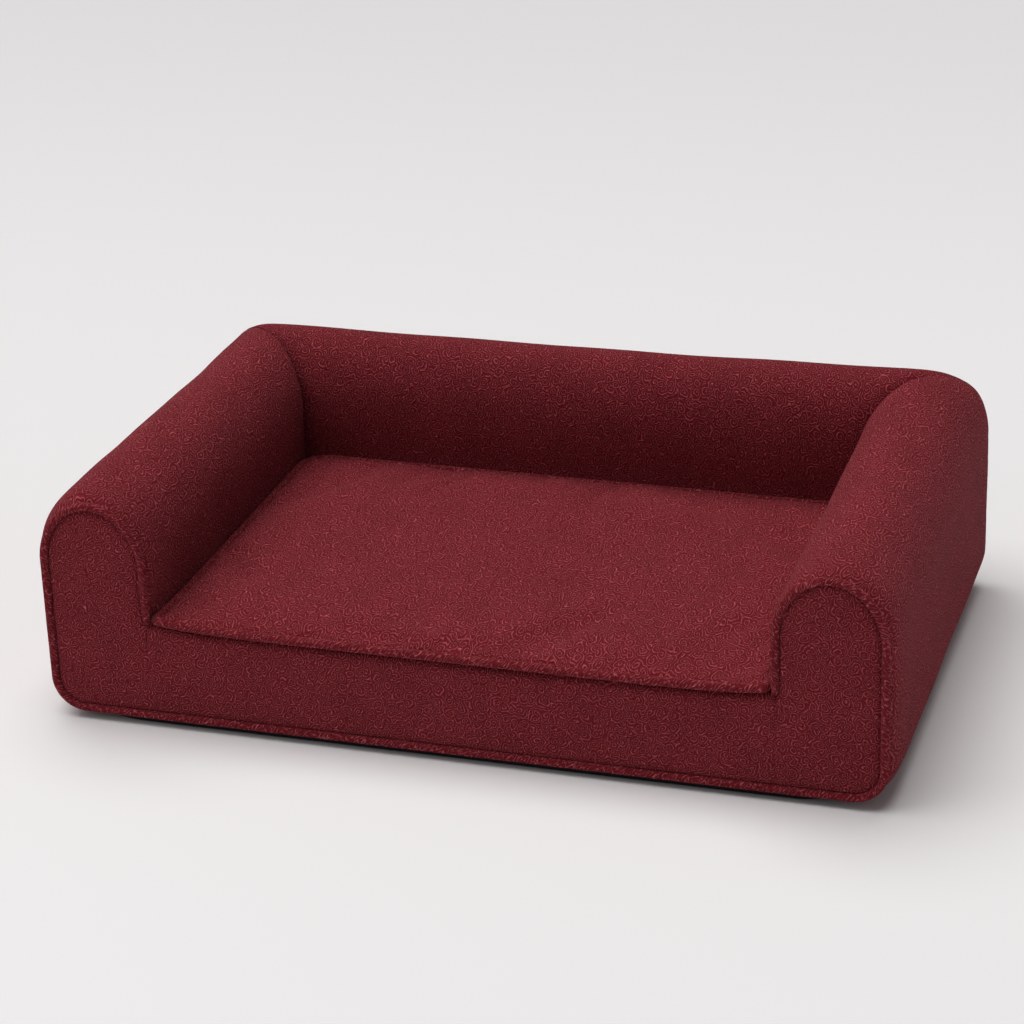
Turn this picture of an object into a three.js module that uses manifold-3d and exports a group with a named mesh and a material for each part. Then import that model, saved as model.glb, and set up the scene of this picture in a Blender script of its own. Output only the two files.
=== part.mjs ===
// A sofa-style dog bed: a plywood tray frame, foam bolsters that sit over its boards like saddles,
// a sewn cover with a welted front, and a loose welted cushion that lifts out of the well.
//
// Frame: millimetres, +Z up, +X to the dog's right as it looks out over the open front (-Y).
// The bed stands on four low glides. Heights are counted from its underside, and at the end the whole
// is lifted by the glides' height, so that the origin is the middle of the footprint, on the floor.
import * as THREE from "three";
import { mergeVertices } from "three/addons/utils/BufferGeometryUtils.js";
import Module from "manifold-3d";

const wasm = await Module();
wasm.setup();

// ---------------------------------------------------------------- driving sizes
const BED_WIDTH = 800; // over both arms
const BED_DEPTH = 492; // front welt to back face
const ARM_WIDTH = 106; // side bolster, outer face to inner face
const BACK_WIDTH = 80; // back bolster, outer face to inner face
const ARM_HEIGHT = 216;
const BACK_HEIGHT = 220;
const ARCH_RISE = 64; // height of the rounded top of every bolster
const FOOT_RADIUS = 33; // rounded lower outer edge of every bolster
const SEAT_HEIGHT = 102; // top of the cushion

const GAP = 0.3; // between pieces that touch or are sewn together
const COVER = 2.5; // cover cloth with its lining
const FASCIA = 6; // front panels, cloth on wadding
const WELT = 8; // diameter of the piping
const BASE_CLOTH = 2; // cloth that closes the underside
const DECK_CLOTH = 1.5; // lining on the base board, under the cushion

const BOARD = 9; // plywood
const BOARD_HEIGHT = 140; // side boards and back board
const BOARD_CORNER = 18; // rounded upper corners of the tall boards
const RAIL_HEIGHT = 90; // top of the front rail board
const RAIL_PAD = 16.7; // foam on the front of the rail
const POST = 20; // square corner posts
const REAR_POST = 118; // length
const SCREW_LENGTH = 26;
const SCREW_RADIUS = 2;
const SCREW_HEAD = 4; // head radius
const SCREW_HEAD_DEPTH = 2.4;
const SCREW_FIT = 0.25; // clearance round a screw in the wood
const SCREW_STAGGER = 14; // crossing screws pass this far above and below the middle of a front post
const BASE_SCREW_SPREAD = 0.6; // where the base's side screws sit, as a share of half the depth

const GLIDE_HEIGHT = 8; // gap under the bed
const GLIDE_RADIUS = 16;
const GLIDE_INSET = 90; // from the outer faces to a glide's middle
const GLIDE_CHAMFER = 1.4; // round its lower edge
const GLIDE_TAPER = 1.2; // how much narrower it is at the top
const GLIDE_DISH = 6; // radius of the hollow in its sole
const GLIDE_DISH_DEPTH = 1.8;
const GLIDE_STEM = 2.4; // radius of the stem in the base board
const GLIDE_STEM_FIT = 0.25; // clearance round the stem
const GLIDE_STEM_REACH = 6.6; // into the base board

const CUSHION_FIT = 0.6; // between the cushion and the bolsters
const CUSHION_COVER = 2;
const CUSHION_CORNER = 26; // radius of the cushion's rear corners, in plan
const LIP_CORNER = 5; // radius of its front corners, in plan
const LIP_THICKNESS = 9.1; // the thin front edge that laps over the rail
const SEAT_PROUD = 0.8; // the top panel stands this far above the welt
const SUPPORT_FOAM = 45; // lower foam layer
const ZIP_SPACE = 8; // room behind the cushion for its zip

const ZIP_TAPE = 1; // thickness
const ZIP_HALF_WIDTH = 9; // one tape, centre line to sewn edge
const COIL = 2.2; // diameter of the coil on each tape
const ZIP_SLIT = 1.2; // between the two coils
const SLIDER_LENGTH = 13;
const SLIDER_NOSE = 5; // half width at the leading end
const SLIDER_TAIL = 3.9; // half width at the trailing end
const SLIDER_WALL = 0.6; // share of its length that has side walls
const SLIDER_WIDE = 0.85; // share of its length at which it is widest
const SLIDER_SNOUT = 0.7; // width of its leading edge, as a share of the widest
const SLIDER_PLATE = 1.3;
const SLIDER_GAP = 3; // between its two plates
const BAIL_LENGTH = 8;
const BAIL_WIDTH = 2;
const BAIL_BAR = 1.3;
const BAIL_EYE = 1.9; // height of the opening under the bar
const PULL_LENGTH = 30;
const PULL_WIDTH = 6;
const PULL_THICKNESS = 1.1;
const PULL_TAPER = 0.8; // width at the pin, as a share of the full width
const PULL_EYE = 2.2; // how far the eye reaches past the bail
const STOP_LENGTH = 4;
const STOP_HEIGHT = 2;
const TAPE_TAIL = 12; // tape beyond the stops
const ZIP_ROOM = 1; // in the foam, above and below the slider
const COVER_ZIP_END = 100; // from the bed's side to the coil's end, in the back cover
const COVER_ZIP_Z = 46; // its height
const CUSHION_ZIP_END = 84; // from the well's side to the coil's end
const CUSHION_ZIP_Z = 52;

const ARC_POINTS = 10; // half the number of facets in each round stretch
const ROUND = 10; // sides of small turned pieces
const WELT_ARC = 4; // half the number of sides of the piping
const GLIDE_SIDES = 24;
const PAST = 1; // how far a cutter reaches beyond what it cuts

// ---------------------------------------------------------------- places worked out from them
const halfWidth = BED_WIDTH / 2;
const frontY = -BED_DEPTH / 2;
const backY = BED_DEPTH / 2;
const innerX = halfWidth - ARM_WIDTH; // inner face of an arm
const coverZip = BED_WIDTH - 2 * COVER_ZIP_END; // length of its coil
const cushionZip = 2 * innerX - 2 * CUSHION_ZIP_END;
const innerY = backY - BACK_WIDTH; // inner face of the back
const weltRadius = WELT / 2;
const bolsterFront = frontY + WELT + GAP; // arm covers and foam start behind the welt
const foamInset = COVER + GAP;
const frameZ = BASE_CLOTH + GAP; // underside of the wooden frame
const baseTop = frameZ + BOARD;
const deckZ = baseTop + GAP;
const deckTop = deckZ + DECK_CLOTH;
const sideBoardX = halfWidth - ARM_WIDTH / 2; // middle of a side board's thickness
const backBoardY = backY - BACK_WIDTH / 2;
const boardSpan = sideBoardX - BOARD / 2 - GAP; // half the width between the side boards
const padBackY = bolsterFront + RAIL_PAD;
const railFrontY = padBackY + GAP;
const railBackY = railFrontY + BOARD;
const railCoverY = railBackY + GAP + COVER; // inner face of the covered rail
const railCoverTop = RAIL_HEIGHT + GAP + BASE_CLOTH;
const postY = { front: railBackY + GAP + POST / 2, rear: backBoardY - BOARD / 2 - GAP - POST / 2 };
const postX = boardSpan - POST / 2;

// ---------------------------------------------------------------- solids
// Closed geometry to a manifold solid: only the positions are kept, so that shared corners merge.
function solid(geometry) {
  const plain = geometry.index ? geometry.toNonIndexed() : geometry;
  const bare = new THREE.BufferGeometry().setAttribute("position", plain.getAttribute("position"));
  const merged = mergeVertices(bare, 1e-4);
  return new wasm.Manifold(
    new wasm.Mesh({
      numProp: 3,
      vertProperties: new Float32Array(merged.getAttribute("position").array),
      triVerts: new Uint32Array(merged.index.array),
    }),
  );
}

function geometryOf(body) {
  const { numProp, numVert, vertProperties, triVerts } = body.getMesh();
  const points = new Float32Array(numVert * 3);
  for (let i = 0; i < numVert; i++) {
    points.set(vertProperties.subarray(i * numProp, i * numProp + 3), i * 3);
  }
  const geometry = new THREE.BufferGeometry();
  geometry.setAttribute("position", new THREE.BufferAttribute(points, 3));
  geometry.setIndex(new THREE.BufferAttribute(new Uint32Array(triVerts), 1));
  geometry.computeVertexNormals();
  return geometry;
}

const cutAll = (body, cutters) => cutters.reduce((left, cutter) => left.subtract(cutter), body);

// A box from its two corners.
function block(low, high) {
  const size = high.map((value, k) => value - low[k]);
  const middle = high.map((value, k) => (value + low[k]) / 2);
  return solid(new THREE.BoxGeometry(...size).translate(...middle));
}

// A shape drawn in (x, z) and pushed along y, one drawn in (y, z) along x, and one in (x, y) along z.
function alongY(points, fromY, toY) {
  const geometry = new THREE.ExtrudeGeometry(new THREE.Shape(points), {
    depth: toY - fromY,
    bevelEnabled: false,
  });
  return solid(geometry.rotateX(Math.PI / 2).translate(0, toY, 0));
}

function alongX(points, fromX, toX) {
  const axes = new THREE.Matrix4().makeBasis(
    new THREE.Vector3(0, 1, 0),
    new THREE.Vector3(0, 0, 1),
    new THREE.Vector3(1, 0, 0),
  );
  const geometry = new THREE.ExtrudeGeometry(new THREE.Shape(points), {
    depth: toX - fromX,
    bevelEnabled: false,
  });
  return solid(geometry.applyMatrix4(axes).translate(fromX, 0, 0));
}

function alongZ(points, fromZ, toZ) {
  const geometry = new THREE.ExtrudeGeometry(new THREE.Shape(points), {
    depth: toZ - fromZ,
    bevelEnabled: false,
  });
  return solid(geometry.translate(0, 0, fromZ));
}

const corners = (pairs) => pairs.map(([x, y]) => new THREE.Vector2(x, y));

// A rectangle with its own radius at the low-y and at the high-y corners.
function roundedPlan(halfX, lowY, highY, lowRadius, highRadius) {
  const path = new THREE.Path();
  path.moveTo(-halfX + lowRadius, lowY);
  path.lineTo(halfX - lowRadius, lowY);
  path.absarc(halfX - lowRadius, lowY + lowRadius, lowRadius, -Math.PI / 2, 0, false);
  path.absarc(halfX - highRadius, highY - highRadius, highRadius, 0, Math.PI / 2, false);
  path.absarc(-halfX + highRadius, highY - highRadius, highRadius, Math.PI / 2, Math.PI, false);
  path.absarc(-halfX + lowRadius, lowY + lowRadius, lowRadius, Math.PI, 1.5 * Math.PI, false);
  const points = path.getPoints(ARC_POINTS / 2);
  return points.filter((p, i) => i === 0 || p.distanceTo(points[i - 1]) > 1e-6).slice(0, -1);
}

// A line of points as a curve, one step for each point, so that a tube has facets only where it bends.
class Route extends THREE.Curve {
  constructor(points, closed = false) {
    super();
    this.points = closed ? [...points, points[0]] : points;
    this.closed = closed;
  }
  get steps() {
    return this.points.length - 1;
  }
  getPoint(t, target = new THREE.Vector3()) {
    return target.copy(this.points[Math.round(t * this.steps)]);
  }
  getSpacedPoints() {
    return this.points.map((p) => p.clone());
  }
  getTangentAt(t, target = new THREE.Vector3()) {
    const last = this.steps;
    const i = Math.round(t * last);
    const before = i > 0 ? i - 1 : this.closed ? last - 1 : 0;
    const after = i < last ? i + 1 : this.closed ? 1 : last;
    const arriving = this.points[i].clone().sub(this.points[before]).normalize();
    const leaving = this.points[after].clone().sub(this.points[i]).normalize();
    return target.copy(arriving.add(leaving).normalize());
  }
}

function weltAlong(points, closed) {
  const path = new Route(points, closed);
  const section = new THREE.Shape().absarc(0, 0, weltRadius, 0, 2 * Math.PI, false);
  const ring = section.getPoints(WELT_ARC).slice(0, -1);
  const geometry = new THREE.ExtrudeGeometry(new THREE.Shape(ring), {
    steps: path.steps,
    extrudePath: path,
  });
  return solid(geometry);
}

// ---------------------------------------------------------------- the bolster section
// Outline of a bolster's cross-section, u = 0 at its outer face, from the foot of the inner face at
// innerZ, over the rounded top, down the outer face and round the foot. inset moves it inwards.
function bolsterOutline(width, height, inset, innerZ) {
  const path = new THREE.Path();
  const shoulder = height - ARCH_RISE;
  path.moveTo(width - inset, innerZ);
  path.lineTo(width - inset, shoulder);
  path.absellipse(width / 2, shoulder, width / 2 - inset, ARCH_RISE - inset, 0, Math.PI, false);
  path.lineTo(inset, FOOT_RADIUS);
  path.absarc(FOOT_RADIUS, FOOT_RADIUS, FOOT_RADIUS - inset, Math.PI, 1.5 * Math.PI, false);
  const points = path.getPoints(ARC_POINTS);
  return points.filter((p, i) => i === 0 || p.distanceTo(points[i - 1]) > 1e-6);
}

// The cloth: a band of even thickness that follows the outline.
function coverSection(width, height) {
  const outside = bolsterOutline(width, height, 0, deckZ);
  const inside = bolsterOutline(width, height, COVER, deckZ);
  return [...outside, ...inside.reverse()];
}

// The foam: it fills the cover. Its inner half stands on the base board.
function foamSection(width, height, boardOuter) {
  const outline = bolsterOutline(width, height, foamInset, deckZ);
  const foot = outline[outline.length - 1].y;
  return [...outline, ...corners([[boardOuter, foot], [boardOuter, deckZ]])];
}

const toLeft = (points) => points.map((p) => new THREE.Vector2(p.x - halfWidth, p.y));
const toBack = (points) => points.map((p) => new THREE.Vector2(backY - p.x, p.y)).reverse();

// Arms and back meet on a mitre that runs from the inner corner of the well to the outer corner.
const mitreShift = GAP / 2;
const mitreSlope = BACK_WIDTH / ARM_WIDTH;
const armPlan = corners([
  [-halfWidth - PAST, frontY],
  [-innerX + PAST, frontY],
  [-innerX + PAST, innerY - mitreShift - mitreSlope * PAST],
  [-halfWidth - PAST, backY - mitreShift + mitreSlope * PAST],
]);
const backPlan = corners([
  [-halfWidth, backY + mitreShift],
  [-innerX, innerY + mitreShift],
  [-innerX, innerY - PAST],
  [innerX, innerY - PAST],
  [innerX, innerY + mitreShift],
  [halfWidth, backY + mitreShift],
]);
const tall = Math.max(ARM_HEIGHT, BACK_HEIGHT) + PAST;
const keepArm = (body) => body.intersect(alongZ(armPlan, -PAST, tall));
const keepBack = (body) => body.intersect(alongZ(backPlan.reverse(), -PAST, tall));

// ---------------------------------------------------------------- plywood frame
// Half the outline of a countersunk wood screw, its head at the origin and its tip along -y.
function screwProfile(fit) {
  return corners([
    [0, -SCREW_LENGTH - fit],
    [SCREW_RADIUS + fit, -SCREW_LENGTH + 2 * SCREW_RADIUS],
    [SCREW_RADIUS + fit, -SCREW_HEAD_DEPTH],
    [SCREW_HEAD + fit, 0],
  ]);
}

const turned = (profile) => new THREE.LatheGeometry(profile, ROUND).rotateX(Math.PI / 2);

function screwGeometry() {
  return geometryOf(solid(turned([...screwProfile(0), new THREE.Vector2(0, 0)])));
}

function screwHole(place) {
  const mouth = corners([[SCREW_HEAD + SCREW_FIT, PAST], [0, PAST]]);
  return solid(turned([...screwProfile(SCREW_FIT), ...mouth]).applyMatrix4(place.matrix));
}

// Where each screw's head sits, and which way it points out of the wood.
function screwPlaces() {
  const places = [];
  const add = (name, x, y, z, outwards) => {
    const turn = new THREE.Quaternion().setFromUnitVectors(
      new THREE.Vector3(0, 0, 1),
      new THREE.Vector3(...outwards),
    );
    const at = new THREE.Vector3(x, y, z);
    const matrix = new THREE.Matrix4().compose(at, turn, new THREE.Vector3(1, 1, 1));
    places.push({ name, at, turn, matrix });
  };
  const baseZ = frameZ + BOARD / 2;
  const baseScrewY = (BED_DEPTH / 2) * BASE_SCREW_SPREAD;
  const railZ = (baseTop + RAIL_HEIGHT) / 2;
  const rearPostMiddle = deckZ + REAR_POST / 2;
  const outerX = sideBoardX + BOARD / 2;
  for (const [side, sign] of [["left", -1], ["right", 1]]) {
    const out = [sign, 0, 0];
    add(`base_screw_${side}_front`, sign * outerX, -baseScrewY, baseZ, out);
    add(`base_screw_${side}_rear`, sign * outerX, baseScrewY, baseZ, out);
    add(`front_post_screw_${side}`, sign * outerX, postY.front, railZ - SCREW_STAGGER, out);
    add(`rear_post_screw_${side}_low`, sign * outerX, postY.rear, rearPostMiddle - REAR_POST / 4, out);
    add(`rear_post_screw_${side}_high`, sign * outerX, postY.rear, rearPostMiddle + REAR_POST / 4, out);
    add(`rail_screw_${side}`, sign * postX, railFrontY, railZ + SCREW_STAGGER, [0, -1, 0]);
  }
  for (const [name, x] of [["left", -innerX / 2], ["right", innerX / 2]]) {
    add(`back_base_screw_${name}`, x, backBoardY + BOARD / 2, baseZ, [0, 1, 0]);
  }
  return places;
}
const screws = screwPlaces();
const screwHoles = screws.map(screwHole);

// A glide is a low rubber puck. Its stem is pressed up through the base cloth into the base board.
const turnedRound = (profile) => solid(new THREE.LatheGeometry(profile, GLIDE_SIDES).rotateX(Math.PI / 2));
const glideTop = -GAP;
const stemTop = frameZ + GLIDE_STEM_REACH;
const glide = turnedRound(
  corners([
    [0, GLIDE_DISH_DEPTH - GLIDE_HEIGHT],
    [GLIDE_DISH, GLIDE_DISH_DEPTH - GLIDE_HEIGHT],
    [GLIDE_DISH + GLIDE_DISH_DEPTH, -GLIDE_HEIGHT],
    [GLIDE_RADIUS - GLIDE_CHAMFER, -GLIDE_HEIGHT],
    [GLIDE_RADIUS, GLIDE_CHAMFER - GLIDE_HEIGHT],
    [GLIDE_RADIUS - GLIDE_TAPER, glideTop],
    [GLIDE_STEM, glideTop],
    [GLIDE_STEM, stemTop],
    [0, stemTop],
  ]),
);
const stemHole = turnedRound(
  corners([
    [0, -PAST],
    [GLIDE_STEM + GLIDE_STEM_FIT, -PAST],
    [GLIDE_STEM + GLIDE_STEM_FIT, stemTop + GAP],
    [0, stemTop + GAP],
  ]),
);
const glides = [];
for (const [side, x] of [["left", -halfWidth + GLIDE_INSET], ["right", halfWidth - GLIDE_INSET]]) {
  for (const [end, y] of [["front", frontY + GLIDE_INSET], ["rear", backY - GLIDE_INSET]]) {
    glides.push({ name: `glide_${end}_${side}`, at: [x, y, 0] });
  }
}
const stemHoles = glides.map(({ at }) => stemHole.translate(at));

// A standing board: a rectangle with rounded upper corners.
function boardFace(low, high) {
  const path = new THREE.Path();
  path.moveTo(low, frameZ);
  path.lineTo(high, frameZ);
  const cornerZ = frameZ + BOARD_HEIGHT - BOARD_CORNER;
  path.absarc(high - BOARD_CORNER, cornerZ, BOARD_CORNER, 0, Math.PI / 2, false);
  path.absarc(low + BOARD_CORNER, cornerZ, BOARD_CORNER, Math.PI / 2, Math.PI, false);
  const points = path.getPoints(ARC_POINTS / 2);
  return points.filter((p, i) => i === 0 || p.distanceTo(points[i - 1]) > 1e-6);
}

const sideBoardRear = backBoardY + BOARD / 2;
const sideBoardLeft = alongX(
  boardFace(railFrontY, sideBoardRear),
  -sideBoardX - BOARD / 2,
  -sideBoardX + BOARD / 2,
);
const backBoard = alongY(
  boardFace(-boardSpan, boardSpan),
  backBoardY - BOARD / 2,
  backBoardY + BOARD / 2,
);
const baseBoard = block(
  [-boardSpan, railFrontY, frameZ],
  [boardSpan, backBoardY - BOARD / 2 - GAP, baseTop],
);
const railBoard = block([-boardSpan, railFrontY, deckZ], [boardSpan, railBackY, RAIL_HEIGHT]);

function post(place, height) {
  const half = POST / 2;
  return block([-postX - half, place - half, deckZ], [-postX + half, place + half, deckZ + height]);
}
const frontPost = post(postY.front, RAIL_HEIGHT - deckZ);
const rearPost = post(postY.rear, REAR_POST);

// A box that holds a rectangular piece with the touching gap all round.
function envelope(body) {
  const { min, max } = body.boundingBox();
  return block(
    min.map((value) => value - GAP),
    max.map((value) => value + GAP),
  );
}
const mirrored = (body) => body.mirror([1, 0, 0]);

// What the foam is cut out for.
const frameSpace = [
  envelope(sideBoardLeft),
  envelope(mirrored(sideBoardLeft)),
  envelope(backBoard),
  envelope(railBoard),
  ...[frontPost, rearPost].flatMap((body) => [envelope(body), envelope(mirrored(body))]),
];

// ---------------------------------------------------------------- foam and covers
const sideBoardOuterU = ARM_WIDTH / 2 - BOARD / 2;
const backBoardOuterU = BACK_WIDTH / 2 - BOARD / 2;
const railSpace = block(
  [-innerX - ARM_WIDTH, frontY - PAST, -PAST],
  [innerX + ARM_WIDTH, railCoverY + GAP, railCoverTop + GAP],
);

const armFoam = keepArm(
  cutAll(
    alongY(toLeft(foamSection(ARM_WIDTH, ARM_HEIGHT, sideBoardOuterU)), bolsterFront, backY),
    frameSpace,
  ),
);
const armCoverFull = alongY(toLeft(coverSection(ARM_WIDTH, ARM_HEIGHT)), bolsterFront, backY);
const innerWallAtRail = railSpace.intersect(
  block([-innerX - COVER - GAP, frontY, 0], [-innerX + PAST, railCoverY + GAP, railCoverTop + GAP]),
);
const armCover = keepArm(armCoverFull.subtract(innerWallAtRail));

// Room for the slider's inner plate behind the zip in the back cover.
const sliderSpace = SLIDER_GAP / 2 + SLIDER_PLATE + GAP;
const zipPlaneY = backY - COVER / 2;
const zipChannel = block(
  [-coverZip / 2 - TAPE_TAIL, zipPlaneY - sliderSpace, COVER_ZIP_Z - SLIDER_NOSE - ZIP_ROOM],
  [coverZip / 2 + TAPE_TAIL, backY + PAST, COVER_ZIP_Z + SLIDER_NOSE + ZIP_ROOM],
);
const zipWindow = (length, planeY, z) =>
  block(
    [-length / 2 - TAPE_TAIL - GAP, planeY - COVER, z - ZIP_HALF_WIDTH - GAP],
    [length / 2 + TAPE_TAIL + GAP, planeY + COVER, z + ZIP_HALF_WIDTH + GAP],
  );

const backFoam = keepBack(
  cutAll(
    alongX(toBack(foamSection(BACK_WIDTH, BACK_HEIGHT, backBoardOuterU)), -halfWidth, halfWidth),
    [...frameSpace, zipChannel],
  ),
);
const backCover = keepBack(
  alongX(toBack(coverSection(BACK_WIDTH, BACK_HEIGHT)), -halfWidth, halfWidth),
).subtract(zipWindow(coverZip, zipPlaneY, COVER_ZIP_Z));

const railFoam = block(
  [-innerX + GAP, bolsterFront, frameZ],
  [innerX - GAP, padBackY, RAIL_HEIGHT],
);
// The cover folds over the rail and down its inner side.
const railCover = alongX(
  corners([
    [bolsterFront, RAIL_HEIGHT + GAP],
    [railBackY + GAP, RAIL_HEIGHT + GAP],
    [railBackY + GAP, deckZ],
    [railCoverY, deckZ],
    [railCoverY, railCoverTop],
    [bolsterFront, railCoverTop],
  ]),
  -innerX + GAP,
  innerX - GAP,
);

// Front panels: two rounded arm fronts and the low middle, joined by flat seams in line with the
// inner faces of the arms.
const fasciaInset = WELT + GAP;
const fasciaY = [bolsterFront - GAP - FASCIA, bolsterFront - GAP];
const seamX = innerX + weltRadius;
const armFrontOutline = toLeft(bolsterOutline(ARM_WIDTH, ARM_HEIGHT, fasciaInset, railCoverTop));
const armFrontFoot = armFrontOutline[armFrontOutline.length - 1].y;
const armFront = alongY(
  [
    ...armFrontOutline,
    ...corners([[-seamX - GAP / 2, armFrontFoot], [-seamX - GAP / 2, railCoverTop]]),
  ],
  ...fasciaY,
);
const middleFront = block(
  [-seamX + GAP / 2, fasciaY[0], armFrontFoot],
  [seamX - GAP / 2, fasciaY[1], railCoverTop],
);

// One welt runs round the whole front: over each arm and along the floor between them.
const weltY = frontY + weltRadius;
const weltHalf = toLeft(bolsterOutline(ARM_WIDTH, ARM_HEIGHT, weltRadius, railCoverTop + GAP));
const frontWelt = weltAlong(
  [
    ...weltHalf.map((p) => new THREE.Vector3(p.x, weltY, p.y)),
    ...[...weltHalf].reverse().map((p) => new THREE.Vector3(-p.x, weltY, p.y)),
  ],
  false,
);

const deckCloth = block(
  [-innerX + GAP, railCoverY + GAP, deckZ],
  [innerX - GAP, innerY - GAP, deckTop],
);
const footInset = FOOT_RADIUS + GAP;
const baseCloth = block(
  [-halfWidth + footInset, bolsterFront, 0],
  [halfWidth - footInset, backY - footInset, BASE_CLOTH],
);

// ---------------------------------------------------------------- cushion
const cushionBase = deckTop + GAP;
const cushionHalf = innerX - CUSHION_FIT; // over the welt
const cushionRear = innerY - CUSHION_FIT;
const lipUnder = SEAT_HEIGHT - LIP_THICKNESS;
const borderHalf = cushionHalf - weltRadius;
const borderFront = railCoverY + CUSHION_FIT;
const borderRear = cushionRear - ZIP_SPACE;
const cushionWeltZ = SEAT_HEIGHT - weltRadius - GAP - SEAT_PROUD;
const rebateZ = cushionWeltZ - weltRadius - GAP; // the top panel stands inside the welt above this
const panelInset = WELT + GAP;

// The space inside a given inset of the cushion's surface: the border below the welt, the top panel
// that stands inside the welt, and the thin edges that reach past the border at front and back.
function cushionBody(inset, bottom) {
  const border = roundedPlan(
    borderHalf - inset,
    borderFront + inset,
    borderRear - inset,
    LIP_CORNER,
    CUSHION_CORNER - inset,
  );
  const panel = roundedPlan(
    cushionHalf - panelInset - inset,
    frontY + panelInset + inset,
    cushionRear - panelInset - inset,
    LIP_CORNER,
    CUSHION_CORNER - inset,
  );
  const top = SEAT_HEIGHT - inset;
  const core = alongZ(panel, bottom, top).intersect(alongZ(border, bottom, top));
  return alongZ(border, bottom, rebateZ - inset)
    .add(core)
    .add(alongZ(panel, lipUnder + inset, top));
}
const foamFit = CUSHION_COVER + GAP;
const cushionZipY = borderRear - CUSHION_COVER / 2;
const cushionChannel = block(
  [-cushionZip / 2 - TAPE_TAIL, cushionZipY - sliderSpace, CUSHION_ZIP_Z - SLIDER_NOSE - ZIP_ROOM],
  [cushionZip / 2 + TAPE_TAIL, borderRear + PAST, CUSHION_ZIP_Z + SLIDER_NOSE + ZIP_ROOM],
);
const cushionCover = cushionBody(0, cushionBase)
  .subtract(cushionBody(CUSHION_COVER, cushionBase - PAST))
  .subtract(zipWindow(cushionZip, cushionZipY, CUSHION_ZIP_Z));
const cushionBottom = alongZ(
  roundedPlan(
    borderHalf - foamFit,
    borderFront + foamFit,
    borderRear - foamFit,
    LIP_CORNER,
    CUSHION_CORNER - foamFit,
  ),
  cushionBase,
  cushionBase + CUSHION_COVER,
);
const supportBottom = cushionBase + CUSHION_COVER + GAP;
const supportTop = supportBottom + SUPPORT_FOAM;
const everywhere = BED_WIDTH;
const foamInCushion = cushionBody(foamFit, supportBottom).subtract(cushionChannel);
const below = (z) => block([-everywhere, -everywhere, -PAST], [everywhere, everywhere, z]);
const supportFoam = foamInCushion.intersect(below(supportTop));
const comfortFoam = foamInCushion.subtract(below(supportTop + GAP));
const cushionWelt = weltAlong(
  roundedPlan(
    cushionHalf - weltRadius,
    frontY + weltRadius,
    cushionRear - weltRadius,
    LIP_CORNER,
    CUSHION_CORNER,
  ).map((p) => new THREE.Vector3(p.x, p.y, cushionWeltZ)),
  true,
);

// ---------------------------------------------------------------- zips
// A zip lies in its own frame: the slider travels along +x, the tapes spread along y, and +z faces
// out of the cloth.
const coilRadius = COIL / 2;
const plateLow = SLIDER_GAP / 2;
const plateHigh = plateLow + SLIDER_PLATE;
const pinZ = plateHigh + BAIL_EYE / 2;
const bailTop = plateHigh + BAIL_EYE + BAIL_BAR;

function zipTape(length, side) {
  const tape = block(
    [-length / 2 - TAPE_TAIL, ZIP_SLIT / 2, -ZIP_TAPE / 2],
    [length / 2 + TAPE_TAIL, ZIP_HALF_WIDTH, ZIP_TAPE / 2],
  );
  const coil = new THREE.CylinderGeometry(coilRadius, coilRadius, length, ROUND)
    .rotateZ(Math.PI / 2)
    .translate(0, ZIP_SLIT / 2 + coilRadius, 0);
  const half = tape.add(solid(coil));
  return side > 0 ? half : half.mirror([0, 1, 0]);
}

// Two plates joined by a thin web between the coils, with side walls and a bail for the pull.
function zipSlider() {
  const half = SLIDER_LENGTH / 2;
  const wallEnd = -half + SLIDER_LENGTH * SLIDER_WALL;
  const widest = -half + SLIDER_LENGTH * SLIDER_WIDE;
  const plate = corners([
    [-half, -SLIDER_TAIL],
    [wallEnd, -SLIDER_TAIL],
    [widest, -SLIDER_NOSE],
    [half, -SLIDER_NOSE * SLIDER_SNOUT],
    [half, SLIDER_NOSE * SLIDER_SNOUT],
    [widest, SLIDER_NOSE],
    [wallEnd, SLIDER_TAIL],
    [-half, SLIDER_TAIL],
  ]);
  const wallInner = ZIP_SLIT / 2 + COIL + GAP;
  const wallLow = ZIP_TAPE / 2 + GAP;
  const web = ZIP_SLIT / 2 - GAP;
  let body = alongZ(plate, plateLow, plateHigh).add(alongZ(plate, -plateHigh, -plateLow));
  body = body.add(block([0, -web, -plateHigh], [widest, web, plateHigh]));
  for (const y of [-1, 1]) {
    for (const z of [-1, 1]) {
      const low = [-half, Math.min(y * wallInner, y * SLIDER_TAIL), Math.min(z * wallLow, z * plateHigh)];
      const high = [wallEnd, Math.max(y * wallInner, y * SLIDER_TAIL), Math.max(z * wallLow, z * plateHigh)];
      body = body.add(block(low, high));
    }
  }
  const bail = block(
    [-BAIL_LENGTH / 2, -BAIL_WIDTH / 2, plateLow],
    [BAIL_LENGTH / 2, BAIL_WIDTH / 2, bailTop],
  ).subtract(
    block(
      [-BAIL_LENGTH / 2 + BAIL_BAR, -BAIL_WIDTH, plateHigh],
      [BAIL_LENGTH / 2 - BAIL_BAR, BAIL_WIDTH, plateHigh + BAIL_EYE],
    ),
  );
  return body.add(bail);
}

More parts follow.
